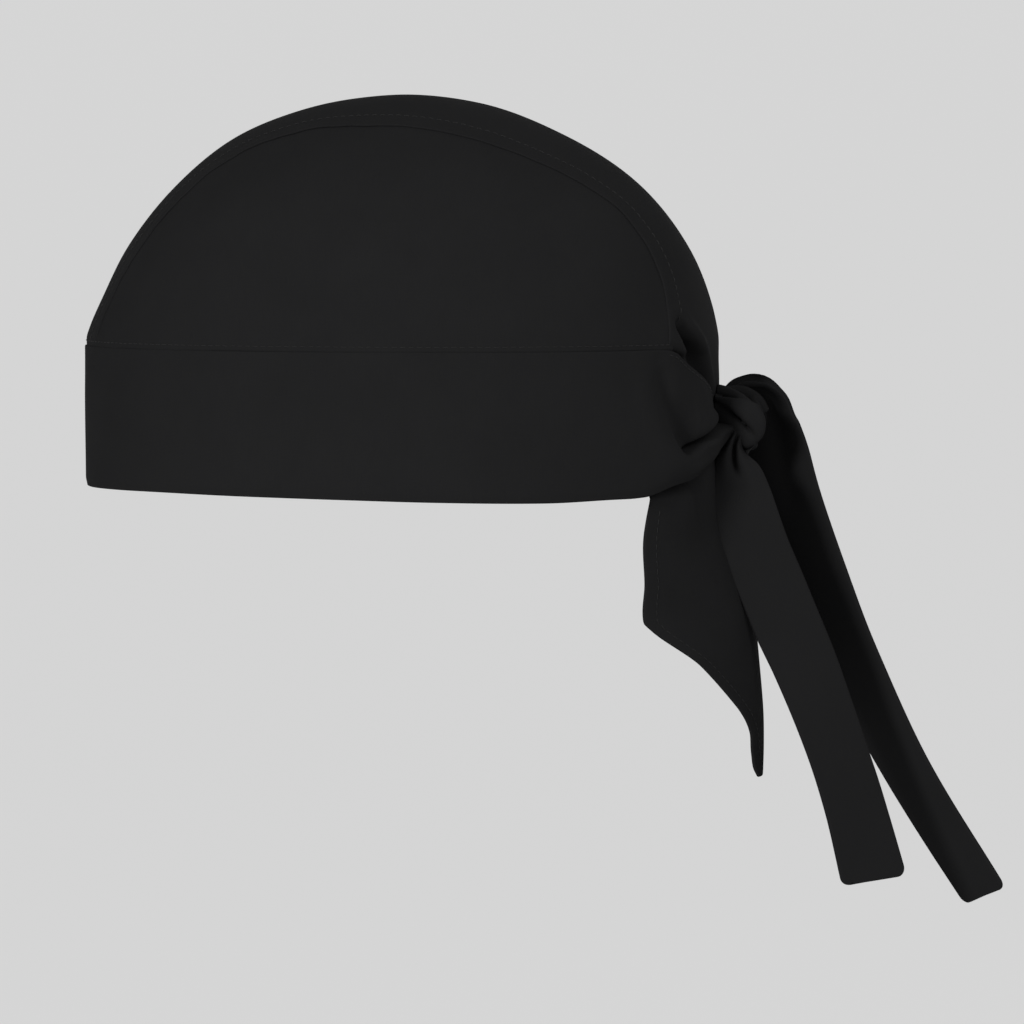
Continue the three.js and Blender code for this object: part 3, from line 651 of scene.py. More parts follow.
def side_panel(name, side):
    along = np.linspace(0, 1, HEAD_STEPS)
    head_line = crown(strip_half(along) - UNDER_STRIP, along)
    head_length = path_lengths(head_line, 0)
    column = PANEL_END + (1 - 2 * PANEL_END) * shares(PANEL_COLUMNS, head_length[-1])
    head_along = np.interp(column * head_length[-1], head_length, along)
    head_aside = strip_half(head_along) - UNDER_STRIP
    head_y = crown(head_aside, head_along)[:, 1]
    start = oval_distance(strip_half(0) - UNDER_STRIP, False)
    end = oval_distance(strip_half(1) - UNDER_STRIP, True)
    foot = start + (end - start) * column
    foot_aside, foot_y = oval_place(foot)
    climb = 1 - np.cos(np.pi / 2 * shares(PANEL_ROWS, PANEL_CLIMB)[:, None])
    aside = foot_aside + (head_aside - foot_aside) * climb
    y = foot_y + (head_y - foot_y) * climb
    grid = crown(aside, crown_along(aside, y))
    up = path_lengths(grid, 0)
    from_strip = up[-1:] - up - UNDER_STRIP
    shift = uneven_cloth(grid * [side, 1, 1], np.minimum(from_strip, up)) * smooth(up, 0, 3)
    sunk = SUNK_UNDER_STRIP * smooth(from_strip, 1.5, -1.0)
    sunk = sunk + groove(grid, slot_line, SLOT_WIDTH, SLOT_DEPTH)
    sunk = sunk + SUNK_AT_NAPE * smooth(from_strip, 1.5, -2.5) * smooth(head_along, 0.88, 0.96)
    grid = tucked_foot(grid + normals(grid) * (shift - sunk)[..., None])
    up = path_lengths(grid, 0)
    flat = np.stack([np.broadcast_to(foot, up.shape), up], -1)
    if side < 0:
        grid = grid[:, ::-1] * [-1, 1, 1]
        flat = flat[:, ::-1]
    panel_grids.append(grid[2:])
    return wall(name, grid, PANEL_WALL, crown_cotton, flat)


panel_grids = []
side_left = side_panel("side_panel_left_cloth", 1)
side_right = side_panel("side_panel_right_cloth", -1)

# %% [markdown]
# The centre panel is one long piece: a strip over the crown whose folded edges lap over the side
# panels, then a back that goes down behind the head, under the knot, and out as a pointed tail.
# Below the crown a parabola across its breadth makes it curl forwards, and a table gives how far
# it stands out behind, its half breadth and its curl, by the way down: 0 at the crown's seam, 1 at
# the rim, 2 at the tail's side corners and 3 at its tip.

# %% The panel behind the head
TAIL_STAND = 14.5
HALF_TAIL = 58.8
TAIL_SIDE_DROP = 40
TAIL_TIP_HALF = 2.6
TUCK_UNDER_BAND = 0.08
CURL_ROUNDS = 8

nape = table(
    "leg stand half curl",
    (0, 0, 0.8, 0.5), (0.1, -0.03, 0.82, 0.65), (0.27, 0, 0.84, 0.67), (0.5, -0.05, 0.86, 0.68),
    (0.8, 0.08, 0.875, 0.69), (1, 0.1, 0.9, 0.71), (1.15, 0.14, 0.925, 0.75),
    (1.32, 0.24, 0.945, 0.83), (1.68, 0.58, 0.975, 1.02), (1.98, 0.83, 1.008, 1.2),
    (2.03, 0.85, 0.975, 1.17), (2.25, 0.93, 0.722, 0.92), (2.5, 0.99, 0.455, 0.88),
    (2.7, 1.03, 0.255, 1.3), (2.85, 1.045, 0.17, 2.7), (2.95, 1.04, 0.115, 4.2),
    (3, 1.03, 0.06, 5))


def curl_length(x, k):
    """Length of the curl y = -k x^2 from its middle out to x."""
    slope = 2 * k * x
    return x / 2 * np.sqrt(1 + slope * slope) + np.arcsinh(slope) / (4 * k)


def curl_aside(length, k):
    """How far aside a length along the curl reaches, by Newton's method."""
    x = np.abs(length)
    for _ in range(CURL_ROUNDS):
        x = x - (curl_length(x, k) - np.abs(length)) / np.hypot(1, 2 * k * x)
    return np.sign(length) * x


def nape_height(leg):
    """Height over the rim for a part of the way down."""
    above = (BAND_HEIGHT + SEAM_GAP) * (1 - leg)
    side = -TAIL_SIDE_DROP * (leg - 1)
    tip = -TAIL_SIDE_DROP - (TAIL_TIP_DROP - TAIL_SIDE_DROP) * (leg - 2)
    return np.where(leg < 1, above, np.where(leg < 2, side, tip))


def curl_at(leg):
    """How strongly the panel curls at a part of its way down."""
    return read(nape, "leg", "curl", leg) / HALF_WIDTH


def hanging(aside, leg):
    """How far back the panel lies."""
    stand = TAIL_STAND * read(nape, "leg", "stand", leg)
    return HALF_LENGTH + stand - curl_at(leg) * aside * aside


def nape_point(share, leg):
    """A point of the panel behind the head, at a share of its half breadth."""
    at_seam = strip_half(1)
    k = curl_at(leg)
    wanted = np.maximum(HALF_TAIL * read(nape, "leg", "half", leg), TAIL_TIP_HALF)
    loose = smooth(leg, 0, TUCK_UNDER_BAND)
    half = np.where(leg < 1, curl_length(at_seam, k) * (1 - leg) + wanted * leg, wanted)
    aside = share * at_seam * (1 - loose) + curl_aside(share * half, k) * loose
    y = opening_back(aside) * (1 - loose) + hanging(aside, leg) * loose
    return np.stack(np.broadcast_arrays(aside, y, nape_height(leg)), -1)


print(f"tail {TAIL_TIP_DROP:.0f} mm below the rim")

# %% [markdown]
# The strip lifts a little at its edges, where it laps over the side panels. Behind the head the
# gathered band and the knot press the panel in, and the tail gets a fold on each side, soft waves
# across it and turned hems, where its wall is thicker.

# %% Centre panel
STRIP_WALL = 0.75
LAP_LIFT = 0.4
LAP_WIDTH = 6.0
HEM_WIDTH = 4.7
HEM_WALL = 1.3
CENTRE_COLUMNS, CENTRE_BREADTH = 80, 92
CROWN_ROWS = 230
NAPE_ROWS = 50
TAIL_ROWS, TAIL_LENGTH = 110, 95
SEAM_ROUNDS = 30
UNDER_BAND = 2.4
GATHER_PRESS = 6.5
GATHER_PRESS_WIDTH = 7.5
TAIL_FOLD_DEPTH = 2.2
TAIL_FOLD_WIDTH = 4.2
TAIL_WAVE = 6.5
gather_line = [(48, 88, 15), (42, 92, 14.5), (36, 95, 15), (29, 97.8, 17), (21, 99.8, 19.5),
               (12, 101.2, 21)]
tail_fold_line = [(27, 95.5, 8), (26, 97.5, 2), (25, 99, -5), (24, 101, -12)]
pressed_lines = ((slot_line, SLOT_WIDTH, SLOT_DEPTH),
                 (tail_fold_line, TAIL_FOLD_WIDTH, TAIL_FOLD_DEPTH),
                 (gather_line, GATHER_PRESS_WIDTH, GATHER_PRESS))


def centre_rule():
    """The grid by its rules alone, softened where the back begins, and its rows below that."""
    column = 2 * shares(CENTRE_COLUMNS, CENTRE_BREADTH) - 1
    legs = np.concatenate([np.linspace(0, 1, NAPE_ROWS)[1:],
                           1 + 2 * shares(TAIL_ROWS, TAIL_LENGTH)[1:]])
    along = np.linspace(0, 1, CROWN_ROWS)[:, None]
    upper = crown(column * strip_half(along), along)
    grid = np.concatenate([upper, nape_point(column[None, :], legs[:, None])])
    from_bend = np.abs(np.arange(len(grid)) - CROWN_ROWS - 3)[:, None, None]
    for _ in range(SEAM_ROUNDS):
        soft = grid.copy()
        soft[1:-1] = (grid[:-2] + 2 * grid[1:-1] + grid[2:]) / 4
        grid = grid + (soft - grid) * smooth(from_bend, 14, 6)
    return grid, legs


def centre_panel():
    grid, legs = centre_rule()
    row = np.arange(len(grid))[:, None]
    z = grid[..., 2]
    down = path_lengths(grid, 0)
    over = path_lengths(grid, 1)
    over = over - over[:, -1:] / 2
    from_edge = over[:, -1:] - np.abs(over)
    on_crown = smooth(row, CROWN_ROWS + 6, CROWN_ROWS - 6)
    below = smooth(z, 2, -14)
    lift = LAP_LIFT * smooth(from_edge, LAP_WIDTH, 0.8) * on_crown * smooth(down, 0, 6)
    shift = uneven_cloth(grid, from_edge) * on_crown * smooth(down, 0, 3)
    pressed = sum(groove(grid, path, width, depth) for line, width, depth in pressed_lines
                  for path in (line, mirrored(line)))
    behind_band = smooth(np.abs(over), 20, 28) * smooth(z, -1, 4) * smooth(z, 46, 42)
    pressed = pressed + UNDER_BAND * behind_band
    folds = below * np.sin(over / TAIL_WAVE + 0.6 + 0.012 * z) * smooth(np.abs(over), 2, 18)
    soft_tail = 0.8 * bumps(grid, 61, 16, 45) * below
    shift = lift + shift + 0.5 * folds + soft_tail - pressed
    grid = grid + normals(grid) * shift[..., None]
    to_border = np.minimum(from_edge, down[-1:] - down)
    hem = smooth(to_border, HEM_WIDTH + 0.8, HEM_WIDTH - 0.4) * below
    thickness = STRIP_WALL + (HEM_WALL - STRIP_WALL) * hem
    thickness = np.concatenate([thickness[:1], thickness[:1], thickness])
    cloth = tucked_foot(grid)
    over = np.concatenate([over[:1], over[:1], over])
    flat = np.stack([over, path_lengths(cloth, 0)], -1)
    return wall("centre_panel_cloth", cloth, thickness, crown_cotton, flat), grid, legs


centre, centre_grid, centre_legs = centre_panel()

# %% [markdown]
# The band is one folded strip. Round the head it stands upright with a rounded lower fold. Behind
# the ears it is gathered: its lower half rolls into a strand, its upper half hangs over that strand
# as a pouch, and both narrow into the knot. Each place along the band has a profile through seven
# named points, from the foot up to the free edge. Two tables give their heights and how far they
# stand out, from the gather's start (0) to its end at the knot (1) and on into it.

# %% The band's tables
profile_at = {"foot": 0.0, "roll": 0.22, "tuck": 0.38, "valley": 0.46, "lip": 0.54,
              "pouch": 0.76, "top": 1.0}
gather_heights = table(
    "along foot roll tuck valley lip pouch top",
    (-0.1, 0, 9.2, 16.6, 21.2, 25.8, 35.9, 46),
    (0.02, 0.3, 9.5, 16.0, 20.8, 25.6, 35.9, 46),
    (0.12, 1.2, 9.7, 15.4, 19.6, 24.8, 35.8, 46),
    (0.22, 2.4, 9.8, 14.6, 18.4, 23.0, 34.8, 45.8),
    (0.3, 3.1, 9.6, 13.6, 16.0, 20.0, 33.2, 44.9),
    (0.36, 3.5, 9.5, 12.8, 14.0, 16.8, 31.6, 43.4),
    (0.42, 3.9, 9.4, 12.6, 13.3, 14.9, 30.0, 41.9),
    (0.5, 4.4, 9.8, 13.8, 14.6, 16.0, 28.6, 40.2),
    (0.66, 5.8, 11.6, 16.4, 17.2, 18.7, 27.7, 37.2),
    (0.8, 7.6, 13.6, 18.4, 19.4, 21, 27.2, 34.4),
    (0.9, 9.4, 15.2, 19.8, 21, 22.8, 27, 32),
    (1.0, 11.2, 16.6, 20.8, 22, 24.2, 26.6, 29),
    (1.12, 13.4, 17.8, 21, 21.6, 22.4, 23.4, 24.6),
    (1.26, 15.2, 17.8, 19.6, 20.2, 20.6, 21.2, 22))
gather_stands = table(
    "along foot roll tuck valley lip pouch top",
    (-0.1, 0, 0, 0, 0, 0, 0, 0),
    (0.02, 0, 0.2, 0.1, 0.1, 0.2, 0.2, 0),
    (0.12, 0, 0.6, 0.5, 0.4, 0.4, 0.4, 0),
    (0.22, 0, 1.1, 1.0, 0.7, 0.3, 0.1, 0),
    (0.3, 0, 1.5, 1.4, 0.8, 0.1, 0, 0),
    (0.36, 0, 1.8, 1.6, 0.8, -0.3, -0.1, 0),
    (0.42, 0, 2.1, 1.7, 0, -0.9, 0, 0.1),
    (0.48, 0, 2.3, 1.5, -2.2, -0.8, 0.3, 0.2),
    (0.56, 0, 2.6, 1.4, -3.8, 0.3, 1.1, 0.4),
    (0.66, 0, 2.8, 1.6, -4.0, 1.2, 1.6, 0.5),
    (0.8, 0, 3.0, 1.9, -4.4, 1.2, 1.3, 0.4),
    (0.9, 0, 3.0, 2.0, -4.8, 0.3, 0.3, -0.5),
    (1.0, -0.2, 3.0, 2.0, -5.2, -2.3, -2.4, -3.0),
    (1.12, -0.4, 2.8, 1.8, -5.6, -5.2, -5.6, -6.6),
    (1.26, -0.6, 2.2, 1.2, -6, -8, -9, -10))
foot_lift = table(
    "along lift",
    (0, 0.35), (0.1, 0.75), (0.2, 1.15), (0.3, 1.35), (0.45, 1.1), (0.57, 0.65), (0.7, 0),
    (0.85, -0.4), (0.95, 0.15), (1, 0.2))
pouch_line = [(6, 42), (7, 36), (9.8, 29.5), (14.5, 22.5), (19, 17.8), (23, 15), (30, 14)]
print(f"band profile: {len(profile_at)} levels at {len(gather_heights['along'])} places")

# %% [markdown]
# Each profile stands on a line in plan, the head's oval and then a curve out into the knot. The
# crease round the lower front of the pouch is a groove in the band's own flat millimetres.

# %% Band
BAND_WALL = 1.7
BAND_EDGE = 0.5
BAND_EDGE_KEPT = 0.45
BAND_END = 1.26
GATHER_LENGTH = 47
END_FROM_MIDDLE = 13
LEAVE_OVAL = 0.28
LEAVE_HANDLE = 8
KNOT_HANDLE = 7
INTO_KNOT = np.array([-0.75, 0.66])
KNOT_ASIDE = 5.5
KNOT_BEHIND = 107.6
RIM_TURN = 0.45
RIM_TURN_HEIGHT = 3
PROUD = 0.3
LEAN = 0.4
POUCH_CREASE = 2.1
POUCH_CREASE_WIDTH = 3.3
POUCH_RIM = 0.35
BAND_STEP = 1.5
GATHER_COLUMNS = 110
BAND_LEVELS, BAND_BREADTH = 64, 50


def band_path(distance):
    """The band's line in plan: the oval, then a curve out into the knot."""
    leave = half_round - END_FROM_MIDDLE - GATHER_LENGTH * LEAVE_OVAL
    last = half_round - END_FROM_MIDDLE + GATHER_LENGTH * (BAND_END - 1)
    aside, y = oval_place(np.minimum(distance, leave))
    step = 0.5
    before, start = (np.array(oval_place(place)) for place in (leave - step, leave))
    end = np.array([KNOT_ASIDE, KNOT_BEHIND])
    t = np.clip((distance - leave) / (last - leave), 0, 1)[:, None]
    first_handle = start + (start - before) / step * LEAVE_HANDLE
    second_handle = end - INTO_KNOT * KNOT_HANDLE
    curve = ((1 - t) ** 3 * start + 3 * (1 - t) ** 2 * t * first_handle
             + 3 * (1 - t) * t * t * second_handle + t ** 3 * end)
    past = distance > leave
    return np.where(past, curve[:, 0], aside), np.where(past, curve[:, 1], y)


def band_profiles(gathered, to_gather):
    """Height and stand of the band, levels by places along it."""
    knots = np.array(list(profile_at.values()))
    level = shares(BAND_LEVELS, BAND_BREADTH)
    z, stand = (
        through(knots, np.array([read(rows, "along", name, gathered) for name in profile_at]),
                level)
        for rows in (gather_heights, gather_stands))
    z = z + read(foot_lift, "along", "lift", to_gather) * smooth(z - z[:1], 22, 0)
    plain_part = smooth(gathered, 0.4, -0.6)
    stand = stand + (PROUD + LEAN * (0.5 - z / BAND_HEIGHT)) * plain_part
    stand = stand - RIM_TURN * (1 - smooth(z - z[:1], 0, RIM_TURN_HEIGHT))
    beside = np.stack(np.broadcast_arrays(gathered * GATHER_LENGTH, z), -1)
    crease = groove(beside, pouch_line, POUCH_CREASE_WIDTH, POUCH_CREASE, POUCH_RIM)
    return z, stand - crease


def band_cloth():
    gather_start = half_round - END_FROM_MIDDLE - GATHER_LENGTH
    last = gather_start + GATHER_LENGTH * BAND_END
    distance = np.concatenate([np.arange(0, gather_start, BAND_STEP),
                               np.linspace(gather_start, last, GATHER_COLUMNS)])
    gathered = (distance - gather_start) / GATHER_LENGTH
    z, stand = band_profiles(gathered, distance / gather_start)
    aside, y = band_path(distance)
    ahead = unit(np.stack([np.gradient(aside), np.gradient(y)], -1))
    up = path_lengths(np.stack([stand, z], -1), 0)
    over = np.broadcast_to(distance, z.shape)
    in_gather = smooth(gathered, 0.02, 0.3) * smooth(gathered, 1.1, 0.8)
    halves = []
    for side in (-1, 1):
        place = np.stack([aside + 0 * z, y + 0 * z, z], -1) * [side, 1, 1]
        shift = stand + uneven_cloth(place, BAND_HEIGHT - z) * smooth(gathered, 0.6, 0)
        shift = shift + 0.5 * bumps(place, 77, 12, 30) * in_gather
        half = np.stack([aside + ahead[:, 1] * shift, y - ahead[:, 0] * shift, z], -1)
        halves.append(half * [side, 1, 1])
    grid = np.concatenate([halves[0][:, :0:-1], halves[1]], 1)
    flat = np.stack([np.concatenate([-over[:, :0:-1], over], 1),
                     np.concatenate([up[:, :0:-1], up], 1)], -1)
    cloth = wall("forehead_band_cloth", grid, BAND_WALL, band_cotton, flat,
                 edge=BAND_EDGE, kept=BAND_EDGE_KEPT)
    return cloth, grid, gathered


band, band_grid, band_gathered = band_cloth()

# %% [markdown]
# The half knot is a few strands of bunched cloth wound round each other. Each strand is an oval
# section swept along a short curve, and a table gives the curve's places with half the section's
# breadth and thickness. A half knot looks the same after half a turn about the line that points
# out of the head, so the strands of the far side are the near ones turned over. A core and a
# filling close the middle, and one more strand crosses the back.

# %% The knot's strands
hood_rows = table(
    "aside behind above half depth",
    (8.4, 100.5, 29.9, 0.9, 1.3), (10.2, 103.6, 28.7, 1.2, 1.6), (11.8, 106.8, 27.7, 1.9, 2.1),
    (12.8, 109.8, 26.6, 3.0, 2.4), (13, 112.6, 24.9, 3.6, 2.4), (12.4, 114.6, 22.0, 3.1, 2.3),
    (11.4, 115.1, 18.9, 2.1, 2.0), (10, 113.6, 16.4, 1.7, 1.8), (8, 111.2, 14.6, 1.4, 1.6))
fold_rows = table(
    "aside behind above half depth",
    (3.4, 98.5, 31.0, 2.0, 2.4), (5.6, 102.4, 31.4, 2.1, 2.4), (7.2, 106.8, 30.2, 1.9, 2.4),
    (8.4, 110.8, 28.0, 1.7, 2.4), (8.4, 113.8, 25.0, 1.8, 2.4))
wrap_rows = table(
    "aside behind above half depth",
    (3.6, 98.5, 27.0, 4.2, 1.8), (6.9, 101.8, 24.7, 4.1, 1.8), (9.5, 105.4, 21.5, 3.9, 1.8),
    (10.9, 108.9, 18.4, 3.5, 1.8), (11.0, 111.9, 15.9, 2.8, 1.7), (9.5, 113.0, 14.6, 2.1, 1.6),
    (7.0, 112.2, 14.0, 1.6, 1.6))
fill_rows = table(
    "aside behind above half depth",
    (-1.5, 100, 30, 2, 2), (-2.5, 105, 30.4, 2.4, 2.4), (-3.4, 110, 30.2, 2.6, 2.4),
    (-4, 114, 28, 2.4, 2.2), (-4, 116.5, 24, 2.2, 2.2))
cross_rows = table(
    "aside behind above half depth",
    (-9, 106.5, 30.5, 3.6, 2), (-6.3, 111.4, 27.6, 4.4, 2), (0, 114.2, 22, 5, 2.2),
    (6.3, 111.4, 16.4, 4.4, 2), (9, 106.5, 13.5, 3.6, 2))
core_rows = table(
    "aside behind above half depth",
    (0, 99, 22, 5, 6), (0, 104, 22, 6, 7), (0, 109, 22, 6, 7), (0, 113, 22, 4.5, 5.5))
LINE_STEPS = 1500
STRAND_RINGS = 80
STRAND_AROUND = 40
STRAND_POWER = 2.5


def smooth_line(rows):
    """A curve through a table's places: its length, its knots, and a reader at shares of it."""
    points = np.stack([rows["aside"], rows["behind"], rows["above"]], -1)
    chords = np.sqrt(np.linalg.norm(np.diff(points, axis=0), axis=1))
    knots = np.concatenate([[0], np.cumsum(chords)])
    knots = knots / knots[-1]
    fine_at = np.linspace(0, 1, LINE_STEPS)
    fine = through(knots, points, fine_at)
    length = path_lengths(fine, 0)

    def place(share):
        at = np.interp(share * length[-1], length, fine_at)
        return at, between(at, fine_at, fine)

    return length[-1], knots, place


def strand(rows, facing):
    """A swept oval, as rings of points. Its thickness lies towards facing."""
    _, knots, place = smooth_line(rows)
    at, line = place(np.linspace(0, 1, STRAND_RINGS))
    half, depth = (np.interp(at, knots, rows[name])[:, None] for name in ("half", "depth"))
    tangent = unit(np.gradient(line, axis=0))
    face = np.asarray(facing, float)
    face = unit(face - (tangent @ face)[:, None] * tangent)
    across = np.cross(tangent, face)
    angle = np.linspace(0, 2 * np.pi, STRAND_AROUND, endpoint=False)
    c, s = (np.sign(w) * np.abs(w) ** (2 / STRAND_POWER) for w in (np.cos(angle), np.sin(angle)))
    return (line[:, None] + across[:, None] * (half * c)[..., None]
            + face[:, None] * (depth * s)[..., None])


near_strands = [strand(hood_rows, (1, 0.25, 0)), strand(fold_rows, (1, 0, 0.35)),
                strand(wrap_rows, (0.72, 0.45, -0.6))]
middle_strands = [strand(core_rows, (1, 0, 0)), strand(fill_rows, (1, 0, 0)),
                  strand(cross_rows, (0, 1, 0))]
print(f"knot: {2 * len(near_strands) + len(middle_strands)} strands")

# %% [markdown]
# All strands are fused by a fine voxel remesh, which leaves the small fillets that cloth has where
# it presses on cloth, and the flat pattern is then read back from the strand that lies nearest.
# What would reach through the panel behind the head is pressed flat onto it.

# %% Knot
KNOT_MIDDLE = 22
VOXEL = 0.00032
SOFTEN_ROUNDS = 4
KNOT_CLEAR = 0.4
PRESSED_FLAT = 0.05


def tube_faces(offset):
    """Faces round a strand and over its two ends."""
    faces = []
    for i in range(STRAND_RINGS - 1):
        for k in range(STRAND_AROUND):
            n = (k + 1) % STRAND_AROUND
            a = offset + i * STRAND_AROUND
            b = a + STRAND_AROUND
            faces.append((a + k, a + n, b + n, b + k))
    last = offset + (STRAND_RINGS - 1) * STRAND_AROUND
    faces.append(tuple(offset + k for k in reversed(range(STRAND_AROUND))))
    faces.append(tuple(last + k for k in range(STRAND_AROUND)))
    return faces


def fused(points, faces):
    """One soft skin round all the strands, as points and faces."""
    mesh = bpy.data.meshes.new("knot_strands")
    mesh.from_pydata(points.tolist(), [], faces)
    rough = new_object("knot_strands", mesh)
    remesh = rough.modifiers.new("fuse", "REMESH")
    remesh.mode = "VOXEL"
    remesh.voxel_size = VOXEL
    soften = rough.modifiers.new("soften", "SMOOTH")
    soften.factor = 0.5
    soften.iterations = SOFTEN_ROUNDS
    graph = bpy.context.evaluated_depsgraph_get()
    skin = bpy.data.meshes.new_from_object(rough.evaluated_get(graph))
    bpy.data.objects.remove(rough)
    return (np.array([v.co for v in skin.vertices]),
            np.array([tuple(p.vertices) for p in skin.polygons]))


def knot_cloth():
    turned = [np.stack([-r[..., 0], r[..., 1], 2 * KNOT_MIDDLE - r[..., 2]], -1)
              for r in near_strands]
    rings = near_strands + turned + middle_strands
    points = np.concatenate([ring.reshape(-1, 3) for ring in rings]) * MM
    flats = [np.stack([path_lengths(ring, 1), path_lengths(ring, 0)], -1) for ring in rings]
    flats = np.concatenate([flat.reshape(-1, 2) for flat in flats]) / PATTERN_UNIT
    faces = []
    for i in range(len(rings)):
        faces += tube_faces(i * STRAND_RINGS * STRAND_AROUND)
    skin, skin_faces = fused(points, faces)
    aside, _, height = skin.T / MM
    panel = hanging(aside, 1 - height / (BAND_HEIGHT + SEAM_GAP)) + KNOT_CLEAR
    skin[:, 1] -= np.minimum(skin[:, 1] - panel * MM, 0) * (1 - PRESSED_FLAT)
    nearest = BVHTree.FromPolygons(points.tolist(), faces)
    flat = np.empty((len(skin), 2))
    for i, place in enumerate(skin):
        corners = list(faces[nearest.find_nearest(place)[2]])
        gap = np.linalg.norm(points[corners] - place, axis=1) + 1e-7
        weight = (1 / gap) / (1 / gap).sum()
        flat[i] = weight @ flats[corners]
    return cloth_object("knot_cloth", skin, skin_faces, flat, tie_cotton)


knot = knot_cloth()

# %% [markdown]
# A tie is the band's end, folded double and pressed: a flat ribbon. Its middle line, its breadth
# and the way it turns come from a table read off from the knot down. Near the knot it is bunched,
# which lifts ridges and sinks creases across it, and its free end has small round corners.

# %% The ties' tables
near_tie_rows = table(
    "aside behind above width turn plump",
    (7.5, 108.8, 19.0, 0.2, 0, 2.2), (9.2, 107.9, 16.0, 0.22, -2, 2.2),
    (11.2, 107.3, 13.4, 0.3, -4, 1.9), (13.0, 107.4, 9.7, 0.55, -5, 1.2),
    (14.2, 108.9, 3.9, 0.79, -6, 0.5), (14.7, 110.6, -4.2, 0.915, -6, 0.2),
    (14.3, 114.3, -17, 0.961, -6, 0), (13.9, 119.8, -30.5, 0.975, -6, 0),
    (13.5, 124.6, -42.2, 0.98, -8, 0), (13.3, 130.1, -54.6, 0.965, -16, 0),
    (13.4, 135.7, -68.8, 0.97, -27, 0), (13.5, 141.0, -83.3, 0.983, -32, 0),
    (13.6, 146.3, -99.6, 1.035, -35, 0), (13.8, 152.9, -124.5, 1.055, -29, 0))
far_tie_rows = table(
    "aside behind above width turn plump",
    (-4.5, 104.4, 26, 0.26, 62, 1.8), (-5.6, 105.4, 30.2, 0.28, 62, 2.0),
    (-6.6, 108.0, 32.8, 0.3, 62, 2.0), (-7.5, 112.4, 33.3, 0.34, 60, 1.9),
    (-8.4, 116.2, 32.0, 0.48, 54, 1.3), (-9.4, 118.8, 28.0, 0.7, 44, 0.7),
    (-10.8, 119.3, 20.8, 0.94, 35, 0.3), (-12.2, 121.4, 8.8, 1.05, 28, 0.1),
    (-13.5, 125.6, -6, 1.02, 26, 0), (-15.2, 138.8, -41.5, 1.01, 34, 0),
    (-16.5, 147.6, -62, 1.06, 40, 0), (-18.3, 163.0, -92.8, 1.09, 48, 0),
    (-20.3, 188.8, -134.2, 1.05, 50, 0))
print(f"ties: {smooth_line(near_tie_rows)[0]:.0f} and {smooth_line(far_tie_rows)[0]:.0f} mm long")

# %% [markdown]
# The ribbon's own frame goes with its line: the tangent points down it, a level direction turned by
# the table's angle goes across it, and the folds are lifts along the third.

# %% Ties
TIE_WIDTH = 22
TIE_WALL = 1.5
TIE_CORNER = 3
CORNER_STEPS = 7
TIE_ROWS = 170
TIE_COLUMNS = 40
CLOSER_AT_KNOT = 1.15


def ribbon(name, rows, ridges, slant):
    """A ribbon with its bunched folds, given by a function of the way down and the side."""
    whole, knots, place = smooth_line(rows)
    station = shares(TIE_ROWS, whole) ** CLOSER_AT_KNOT
    round_end = 1 - np.sin(np.linspace(0, np.pi / 2, CORNER_STEPS))
    corner = 1 - TIE_CORNER / whole * round_end
    station = np.concatenate([station[station < corner[0] - 0.002], corner])
    at, line = place(station)
    rows = dict(rows, at=knots)
    width, turn, plump = (read(rows, "at", key, at)[:, None] for key in ("width", "turn", "plump"))
    turn = np.radians(turn)
    tangent = unit(np.gradient(line, station, axis=0))
    base = unit(np.cross(tangent, [1.0, 0, 0]))
    across = base * np.cos(turn) + np.cross(tangent, base) * np.sin(turn)
    face = np.cross(across, tangent)[:, None]
    to_end = ((1 - station) * whole)[:, None]
    inside = np.clip(TIE_CORNER - to_end, 0, TIE_CORNER)
    half = TIE_WIDTH * width / 2 - (TIE_CORNER - np.sqrt(TIE_CORNER ** 2 - inside ** 2))
    side = 2 * shares(TIE_COLUMNS, TIE_WIDTH) - 1
    down = np.broadcast_to((station * whole)[:, None], (len(station), len(side)))
    raised = ridges(down, side[None, :], line[:, 2][:, None])
    swell = plump * np.sqrt(1 - side ** 2)
    middle = line[:, None] + across[:, None] * (half * side)[..., None] + face * raised[..., None]
    slanted = slant * side * smooth(to_end, 14, 0)
    middle = middle + tangent[:, None] * slanted[..., None]
    outer = middle + face * (TIE_WALL / 2 + swell)[..., None]
    flat = np.stack([half * side, down], -1)
    return wall(name, outer, TIE_WALL + 2 * swell, tie_cotton, flat, edge=TIE_WALL / 2)


def hump(side, middle, width):
    """1 in the middle of a ridge, fading to its sides."""
    return np.exp(-((side - middle) / width) ** 2)


def near_ridges(down, side, height):
    """Two lobes with a deep crease between them, which ends a little below the rim."""
    bunched = smooth(height, -8, 14)
    lobe = hump(side, -0.42, 0.3) * 1.6 + hump(side, 0.42, 0.36) * 1.5
    slit = hump(side, -0.03, 0.1) * 3.4 * smooth(height, 3, 10)
    soft = 0.35 * waves(down, side * 11, 91, 30, 70)
    return lobe * bunched - slit - bunched * side ** 4 + soft * smooth(height, 5, -20)


def far_ridges(down, side, height):
    """The ribbon's front half is bent back a little where it comes over the knot."""
    bunched = smooth(height, -20, 20)
    hollow = hump(side, -0.1, 0.45) * -1.6
    soft = 0.4 * waves(down, side * 11, 95, 30, 70)
    return hollow * bunched * smooth(down, 8, 22) + soft * smooth(down, 25, 50)


near_tie = ribbon("tie_left_cloth", near_tie_rows, near_ridges, -1.2)
far_tie = ribbon("tie_right_cloth", far_tie_rows, far_ridges, 0.5)

# %% [markdown]
# Hundreds of equal stitches follow the seams, so Geometry Nodes make them. The tree takes a line of
# points that lie on the cloth, each with the direction that points away from it. It walks the line
# in even steps, sets a short bowed piece of thread on each step and turns it along the seam.

# %% Stitch tree
STITCH_SEED = 5
STITCH_TILT = 0.09
stitch_sizes = {"Pitch": 2.6, "Stitch length": 1.7, "Thread": 0.27}


